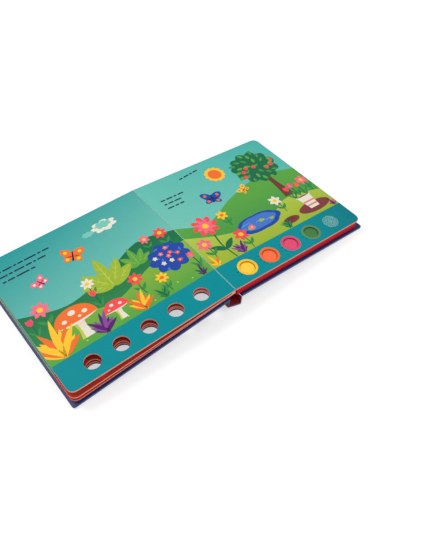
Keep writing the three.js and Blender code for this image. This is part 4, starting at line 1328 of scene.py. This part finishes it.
def left_spread() -> None:
    """Draws the left page: hill, field, toadstools, cloud, bush, tufts and flowers."""
    s = Sheet(LEFT, "left_page_print", "front")
    s.sky(Ink.SKY_PALE, Ink.SKY_DEEP, 0.35)
    s.strip([None] * PAGE.holes)
    s.ground([(0, 112), (45, 122), (95, 104), (150, 92), (200, 108)], Ink.LEAF, Ink.FOREST, 1)
    s.ground([(0, 92), (50, 84), (105, 66), (150, 72), (200, 58)], Ink.FIELD, Ink.LIME, 2)
    for x, y, size, ink, layer in ((60, 168, 17, Ink.CREAM, 1.5), (60, 170, 11, Ink.SKY_PALE, 1.8),
                                   (82, 166, 8, Ink.SKY_PALE, 1.8)):
        s.lay(disc(x, y, scallop(size, 7, 0.28), 28, 0.55), ink, layer)
    s.lay(disc(28, 82, scallop(25, 9, 0.2), 36, 0.9), Ink.BLUE, 3)
    for i in range(9):
        a, r, q = 2.4 * i, math.sqrt(i), math.sqrt(i + 1)
        s.bloom(28 + 5.6 * r * math.cos(a), 83 + 5.2 * r * math.sin(a), 3.1, 5,
                (Ink.PINK, Ink.CORAL, Ink.CREAM)[i % 3], Ink.YELLOW, 4)
        s.lay(leaf(28 + 6.4 * q * math.cos(a + 1), 83 + 5.6 * q * math.sin(a + 1), 30 + 40 * i, 6, 2.6),
              Ink.BLUE_PALE, 3.6)
    s.toadstool(152, 45, 24, Ink.ORANGE,
                (-0.5, 1.28, 0.13), (0.02, 1.5, 0.17), (0.5, 1.24, 0.12), (-0.2, 1.16, 0.08))
    s.toadstool(112, 42, 15, Ink.CORAL, (-0.4, 1.3, 0.14), (0.2, 1.46, 0.15), (0.55, 1.18, 0.09))
    s.fern(98, 84, 46, Ink.LIME, Ink.LIME_PALE, 2.6)
    s.fern(60, 92, 28, Ink.FIELD, Ink.LIME, 2.5)
    s.blades(182, (Ink.YELLOW, Ink.ORANGE, Ink.YELLOW), 11, 44)
    s.blades(134, (Ink.PURPLE, Ink.LILAC), 9, 27)
    s.blades(88, (Ink.ORANGE, Ink.YELLOW), 9, 27)
    s.blades(62, (Ink.FOREST, Ink.LEAF), 7, 17)
    s.blades(12, (Ink.PURPLE, Ink.FOREST), 5, 16)
    s.flowers(7, 2.6, (176, 104, 11, Ink.PINK), (76, 78, 9, Ink.CORAL), (120, 104, 8, Ink.CREAM),
              (52, 62, 8, Ink.YELLOW), (16, 118, 9, Ink.CORAL), (36, 120, 7, Ink.PINK))
    s.tulip(122, 86, Ink.CORAL, Ink.ORANGE, 5)
    s.tulip(192, 92, Ink.MAGENTA, Ink.CORAL, 5)
    s.tulip(8, 66, Ink.PINK, Ink.CORAL, 5)
    for x in spread(30, 180, 12):
        s.lay(disc(x + 4 * math.sin(x), 44 + 3 * math.cos(2 * x), 1.0, 3), Ink.LIME_PALE, 4.5)
    s.butterfly(112, 148, 17, Ink.ORANGE, Ink.YELLOW, 24)
    s.butterfly(158, 136, 12, Ink.PINK, Ink.CREAM, -30)
    for row, lengths in enumerate(((5, 11, 3, 6, 14, 4, 8), (9, 4, 12, 7, 3, 10), (4, 8, 15, 5))):
        s.bars(-190, 176 - 8 * row, lengths)
    s.build("left_strip_print", "left_far_hill_print", "left_field_print", "large_toadstool_cap_print",
            "large_toadstool_stem_print", "small_toadstool_cap_print", "small_toadstool_stem_print",
            "left_cloud_print", "left_bush_print")


def tree(s: Sheet, x: float, y: float) -> None:
    """Draws a fruit tree with its crown's centre at a place."""
    t = spread(0, 1, 24)
    s.lay(column(x + 1, 2 + 6 * (1 - t) ** 2.2 + 3 * t ** 3, 82 + 58 * t, 5), Ink.BROWN, 3)
    for k in range(3):
        crack = [(x - 2 + 3 * k, 88 + 3 * k), (x - 1 + 1.4 * k, 106), (x - 2 + 2 * k, 130)]
        s.lay(ribbon(crack, 0.7, 0.6), Ink.MAUVE, 3.4)
    s.lay(disc(x, y, scallop(33, 11, 0.16), 44, 0.95), Ink.FOREST, 4)
    for i in range(26):
        a, r = 2.4 * i, 5.6 * math.sqrt(i)
        u, v = x + r * math.cos(a), y + 0.93 * r * math.sin(a)
        s.lay(leaf(u, v, math.degrees(a) + 20, 9, 4.6), (Ink.LEAF, Ink.FIELD)[i % 2], 4.4)
        s.lay(ribbon([ray(u, v, math.degrees(a + 0.35), q) for q in (0, 2.6, 6)], 0.4, 0.4, 4), Ink.LIME, 4.7)
        if i % 4 == 1:
            s.lay(disc(u + 3, v - 3, 3.0, 6), Ink.CORAL, 5)


def right_spread() -> None:
    """Draws the right page: hills, tree, pond, sun, flowers, stones and the row of button rings."""
    s = Sheet(RIGHT, "right_page_print", "back")
    s.sky(Ink.SKY_PALE, Ink.SKY, 0.5)
    s.strip([Ink.YELLOW, Ink.ORANGE, Ink.MAGENTA, Ink.RIM_GREEN, None], grille=PAGE.holes - 1)
    s.ground([(0, 112), (40, 98), (90, 118), (150, 132), (200, 120)], Ink.LEAF, Ink.FIELD, 1)
    s.ground([(0, 92), (45, 72), (100, 62), (150, 80), (200, 70)], Ink.LIME, Ink.LIME_PALE, 2)
    s.lay(disc(104, 166, scallop(14, 12, 0.14), 24), Ink.YELLOW, 2)
    s.lay(disc(104, 166, 9, 10), Ink.ORANGE, 2.4)
    s.lay(disc(92, 66, scallop(34, 6, 0.08), 24, 0.42), Ink.BLUE, 3)
    s.lay(disc(92, 67, scallop(27, 6, 0.08), 20, 0.4), Ink.BLUE_PALE, 3.3)
    for k, x in enumerate((78, 97, 110)):
        s.lay(disc(x, 63 + 4 * (k % 2), notched(5.2 - k, 0.8 * k), 10, 0.6), Ink.LIME, 3.8)
        ripple = [(x - 9, 70 - 3 * k), (x - 3, 71 - 3 * k), (x + 4, 70 - 3 * k)]
        s.lay(ribbon(ripple, 0.7, 0.5), Ink.SKY_PALE, 3.6)
    s.bloom(79, 64, 4.6, 9, Ink.PINK, Ink.YELLOW, 4.4)
    tree(s, 158, 150)
    s.lay(disc(34, 96, scallop(17, 8, 0.4), 32), Ink.CORAL, 4)
    s.bloom(34, 96, 13, 8, Ink.PINK, Ink.YELLOW, 4.4)
    s.lay(ribbon([(34, 80), (31, 60), (34, 37)], 2.0, 0.2), Ink.FOREST, 3)
    for side in (-1, 1):
        s.lay(leaf(32, 52, 90 - side * 46, 20, 7.5, -side * 0.12), Ink.FOREST, 3.4)
    s.flowers(6, 2.5, (60, 62, 10, Ink.CORAL), (14, 72, 10, Ink.PINK), (134, 84, 9, Ink.CREAM),
              (191, 96, 9, Ink.PINK), (62, 100, 8, Ink.YELLOW))
    s.pot(170, 48, 27)
    s.lay(disc(128, 47, 12, 10, 0.46), Ink.MAUVE, 3.2)
    s.lay(disc(127, 48, 8, 8, 0.4), Ink.BROWN, 3.5)
    s.blades(46, (Ink.PURPLE, Ink.LILAC), 7, 20)
    s.blades(118, (Ink.FOREST, Ink.LEAF), 7, 16)
    s.blades(8, (Ink.YELLOW, Ink.ORANGE), 5, 18)
    s.blades(194, (Ink.PURPLE, Ink.MAGENTA), 5, 14)
    s.butterfly(72, 130, 17, Ink.BLUE, Ink.ORANGE, -18)
    s.butterfly(116, 122, 11, Ink.YELLOW, Ink.CORAL, 30)
    for row, lengths in enumerate(((6, 9, 4, 8), (4, 7, 10), (9, 5, 6))):
        s.bars(16, 160 - 7.5 * row, lengths)
    s.bars(60, 182, (5, 8, 4, 7), slope=0.12)
    s.build("right_strip_print", "right_far_hill_print", "right_field_print", "pond_print",
            "tree_crown_print", "tree_trunk_print", "sun_print", "daisy_print",
            *(f"button_ring_{i}" for i in range(1, 5)))


@dataclass
class Buttons:
    """Four round press pads, dished, with a softened rim and a flange below, in millimetres.

    Attributes:
        radius: Radius of a pad.
        recess: Depth of its top below the page.
        dish: Depth of the dish in its top.
        dish_radius: Radius at which the dish would meet the top.
        rounding: Radius of the softened rim.
        flange: Radius of the flange.
        flange_span: Depths of the flange's two sides, at its outer edge.
        pill: Radius of the pill below.
    """

    radius: float = 8.6
    recess: float = 1.3
    dish: float = 0.25
    dish_radius: float = 7.4
    rounding: float = 0.6
    flange: float = 10.0
    flange_span: Place = (2.2, 2.7)
    pill: float = 4.0

    def build(self) -> None:
        """Turns each pad and puts it in place of the CAD button."""
        bottom, top, soft = lowest_level("button_1"), -self.recess, self.rounding
        upper, lower = self.flange_span
        profile = [(r, top - self.dish * (1 - (r / self.dish_radius) ** 2))
                   for r in spread(0, self.dish_radius, 9)]
        profile += [(self.radius - soft + soft * math.sin(t), top - soft + soft * math.cos(t))
                    for t in spread(0, math.pi / 2, 7)]
        profile += [(self.radius, 0.05 - upper), (self.flange, -upper), (self.flange, -lower),
                    (self.pill, -lower), (self.pill, bottom), (0, bottom)]
        inks = (Ink.YELLOW, Ink.ORANGE, Ink.MAGENTA, Ink.RING_GREEN)
        slots = ("button_yellow", "button_orange", "button_pink", "button_green")
        for i, (ink, slot) in enumerate(zip(inks, slots), start=1):
            surface = Surface()
            centre = np.array([PAGE.hole(i - 1), PAGE.row, 0.0])
            surface.lathe(np.array(profile), lambda p, centre=centre: RIGHT.place(p + centre), 72)
            tone = tuple(0.86 * c for c in ink.linear())
            finish = Moulded(f"button_{ink.name.lower()}", tone, 0.45, coat=0.06, relief=0.06)
            made = surface.build(f"button_pad_{i}", finish.material(), crease=35.0)
            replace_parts(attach(made, f"button_{i}"), f"button_{i}")


@dataclass
class Grille:
    """Round teal plate with rings of small holes, each in a pale printed rim, over the speaker.

    Attributes:
        pitch: Step from ring to ring and about the step between holes.
        hole: Radius of a hole.
        rim: Width of the pale rim round it.
        rings: Rings round the middle hole.
        thickness: Thickness of the plate.
    """

    pitch: float = 2.9
    hole: float = 0.75
    rim: float = 0.5
    rings: int = 3
    thickness: float = 1.0

    def sector(self, ring: int, index: int) -> tuple[Grid, Grid]:
        """One sector of a ring with a hole in its middle, and the hole's centre.

        The sector's outline is a rectangle in radius and angle. Rays run from the hole's rim to it.

        Args:
            ring: Number of the ring, from one.
            index: Place on the ring.

        Returns:
            The grid and the hole's centre.
        """
        share = 2 * math.pi / (6 * ring)
        r, a = outline((ring - 0.5) * self.pitch, (ring + 0.5) * self.pitch,
                       (index - 0.5) * share, (index + 0.5) * share, 6).T
        centre = ring * self.pitch * np.array([math.cos(index * share), math.sin(index * share)])
        return holed(centre, self.hole, np.stack([r * np.cos(a), r * np.sin(a)], -1), 3), centre

    def build(self) -> None:
        """Builds the plate and the pale rims, and replaces the CAD grille."""
        middle = np.array([PAGE.hole(PAGE.holes - 1), PAGE.row])
        outer = (self.rings + 0.5) * self.pitch
        flats = [annulus(0, 0, self.hole, self.pitch / 2, 36), annulus(0, 0, outer, PAGE.grille_radius, 72)]
        sectors = [self.sector(ring, i) for ring in range(1, self.rings + 1) for i in range(6 * ring)]
        plate, rims = Surface(), Surface()
        for flat in flats + [grid for grid, _ in sectors]:
            self.put(plate, flat + middle, 0.0, Ink.TEAL)
        for centre in [np.zeros(2)] + [place for _, place in sectors]:
            flat = annulus(0, 0, self.hole, self.hole + self.rim, 20)
            self.put(rims, flat + middle + centre, PAGE.step, Ink.TEAL_PALE)
        plate.weld()
        pieces = ((plate, "grille_plate", self.thickness), (rims, "grille_rims", PAGE.film))
        for surface, name, depth in pieces:
            made = surface.build(name, Finishes.sheet.material())
            solid = made.modifiers.new("board", "SOLIDIFY")
            solid.thickness, solid.offset = depth * MM, -1.0
            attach(made, "back")
            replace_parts(made, "speaker_grille")

    def put(self, surface: Surface, flat: Grid, height: float, ink: Ink) -> None:
        """Adds a flat grid at a height over the page."""
        page = raised(flat, height)
        surface.add(RIGHT.place(page), RIGHT.upright(), ink.linear(), 0.0, page)


def lowest_level(node: str) -> float:
    """Lowest level of a CAD node below the page of the right half, in millimetres."""
    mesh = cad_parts[node].data
    co = np.zeros(len(mesh.vertices) * 3)
    mesh.vertices.foreach_get("co", co)
    return float(((co.reshape(-1, 3) - np.array(RIGHT.origin())) @ np.array(RIGHT.upright())).min() / MM)


@dataclass
class Studio:
    """Camera, lamps and the plain floor.

    Attributes:
        eye: Place of the camera, in metres.
        forward: Direction in which it looks.
        right: Direction to the right of its picture.
        lens: Focal length in millimetres, on a sensor 36 mm wide.
        ambient: Strength of the white surroundings as light.
    """

    eye: Point = (-0.27524, -0.38654, 0.51853)
    forward: Point = (0.419275, 0.49593, -0.76043)
    right: Point = (0.782225, -0.62247, 0.02534)
    lens: float = 39.235
    ambient: float = 0.66

    def camera(self) -> None:
        """Makes the camera that saw the book in the photo."""
        data = bpy.data.cameras.new("camera")
        data.lens, data.sensor_width, data.sensor_fit = self.lens, 36.0, "AUTO"
        data.clip_start, data.clip_end = 0.01, 20.0
        made = bpy.data.objects.new("camera", data)
        ahead = Vector(self.forward).normalized()
        across = (Vector(self.right) - ahead * Vector(self.right).dot(ahead)).normalized()
        up = across.cross(ahead)
        made.matrix_world = Matrix.Translation(self.eye) @ Matrix((across, up, -ahead)).transposed().to_4x4()
        bpy.context.scene.collection.objects.link(made)
        bpy.context.scene.camera = made

    def lamp(self, name: str, place: Point, size: float, power: float) -> None:
        """Adds a soft square lamp that looks at the book."""
        data = bpy.data.lights.new(name, "AREA")
        data.size, data.energy = size, power
        made = bpy.data.objects.new(name, data)
        made.location = place
        made.rotation_euler = (Vector((0.0, 0.0, 0.01)) - Vector(place)).to_track_quat("-Z", "Y").to_euler()
        bpy.context.scene.collection.objects.link(made)

    def build(self) -> None:
        """Sets up the floor, the white surroundings, the lamps and the camera."""
        self.camera()
        surface = Surface()
        x, y = np.meshgrid(spread(-1.6, 1.6, 3), spread(-1.6, 1.6, 3))
        surface.add(np.stack([x, y, np.full(x.shape, -0.0002)], -1), Vector((0, 0, 1)))
        surface.build("floor", Finishes.floor.material())
        world = bpy.data.worlds.new("surroundings")
        bpy.context.scene.world = world
        world.use_nodes = True
        graph = Graph(world.node_tree)
        path = graph.node("ShaderNodeLightPath").outputs
        seen = graph.math("MAXIMUM", path["Is Camera Ray"], path["Is Transmission Ray"])
        graph.feed(world.node_tree.nodes["Background"], {
            "Color": WHITE, "Strength": graph.ramp(seen, 0.0, 1.0, self.ambient, 1.0)})
        self.lamp("key", (-0.45, 0.75, 1.1), 0.5, 9.0)
        self.lamp("fill", (0.6, -0.9, 1.0), 1.0, 5.0)
        bpy.context.scene.view_settings.view_transform = "Standard"


def dress_nodes() -> None:
    """Gives every remaining CAD node its finish."""
    f = Finishes
    table = {
        "left_pages": f.left_leaf, "last_page": f.right_leaf, "sound_block": f.block,
        "front_cover": f.front_cover, "back_cover": f.back_cover, "spine_board": f.spine,
        "back_joint_strip": f.back_strip, "front_joint_strip": f.front_strip, "battery_door": f.door,
        "door_screw": f.screw, "module_case": f.case, "circuit_board": f.mask, "sound_chip": f.dark,
        "speaker_frame": f.steel, "speaker_cone": f.cone, "speaker_magnet": f.steel,
        "speaker_lead_black": f.black_wire, "speaker_lead_red": f.red_wire,
        "battery_contact_plus": f.gold, "battery_contact_minus": f.gold, "next_leaf_strip_print": f.next_leaf,
        **{f"contact_pad_{i}": f.pad for i in range(1, 5)},
        **{f"button_cell_{i}": f.steel for i in range(1, 4)},
    }
    for name, finish in table.items():
        finish_node(name, finish)


def main() -> None:
    """Builds and dresses the whole book."""
    logging.basicConfig(level=logging.INFO, format="%(name)s: %(message)s")
    dress_nodes()
    left_spread()
    right_spread()
    Buttons().build()
    Grille().build()
    Studio().build()


if __name__ == "__main__":
    main()
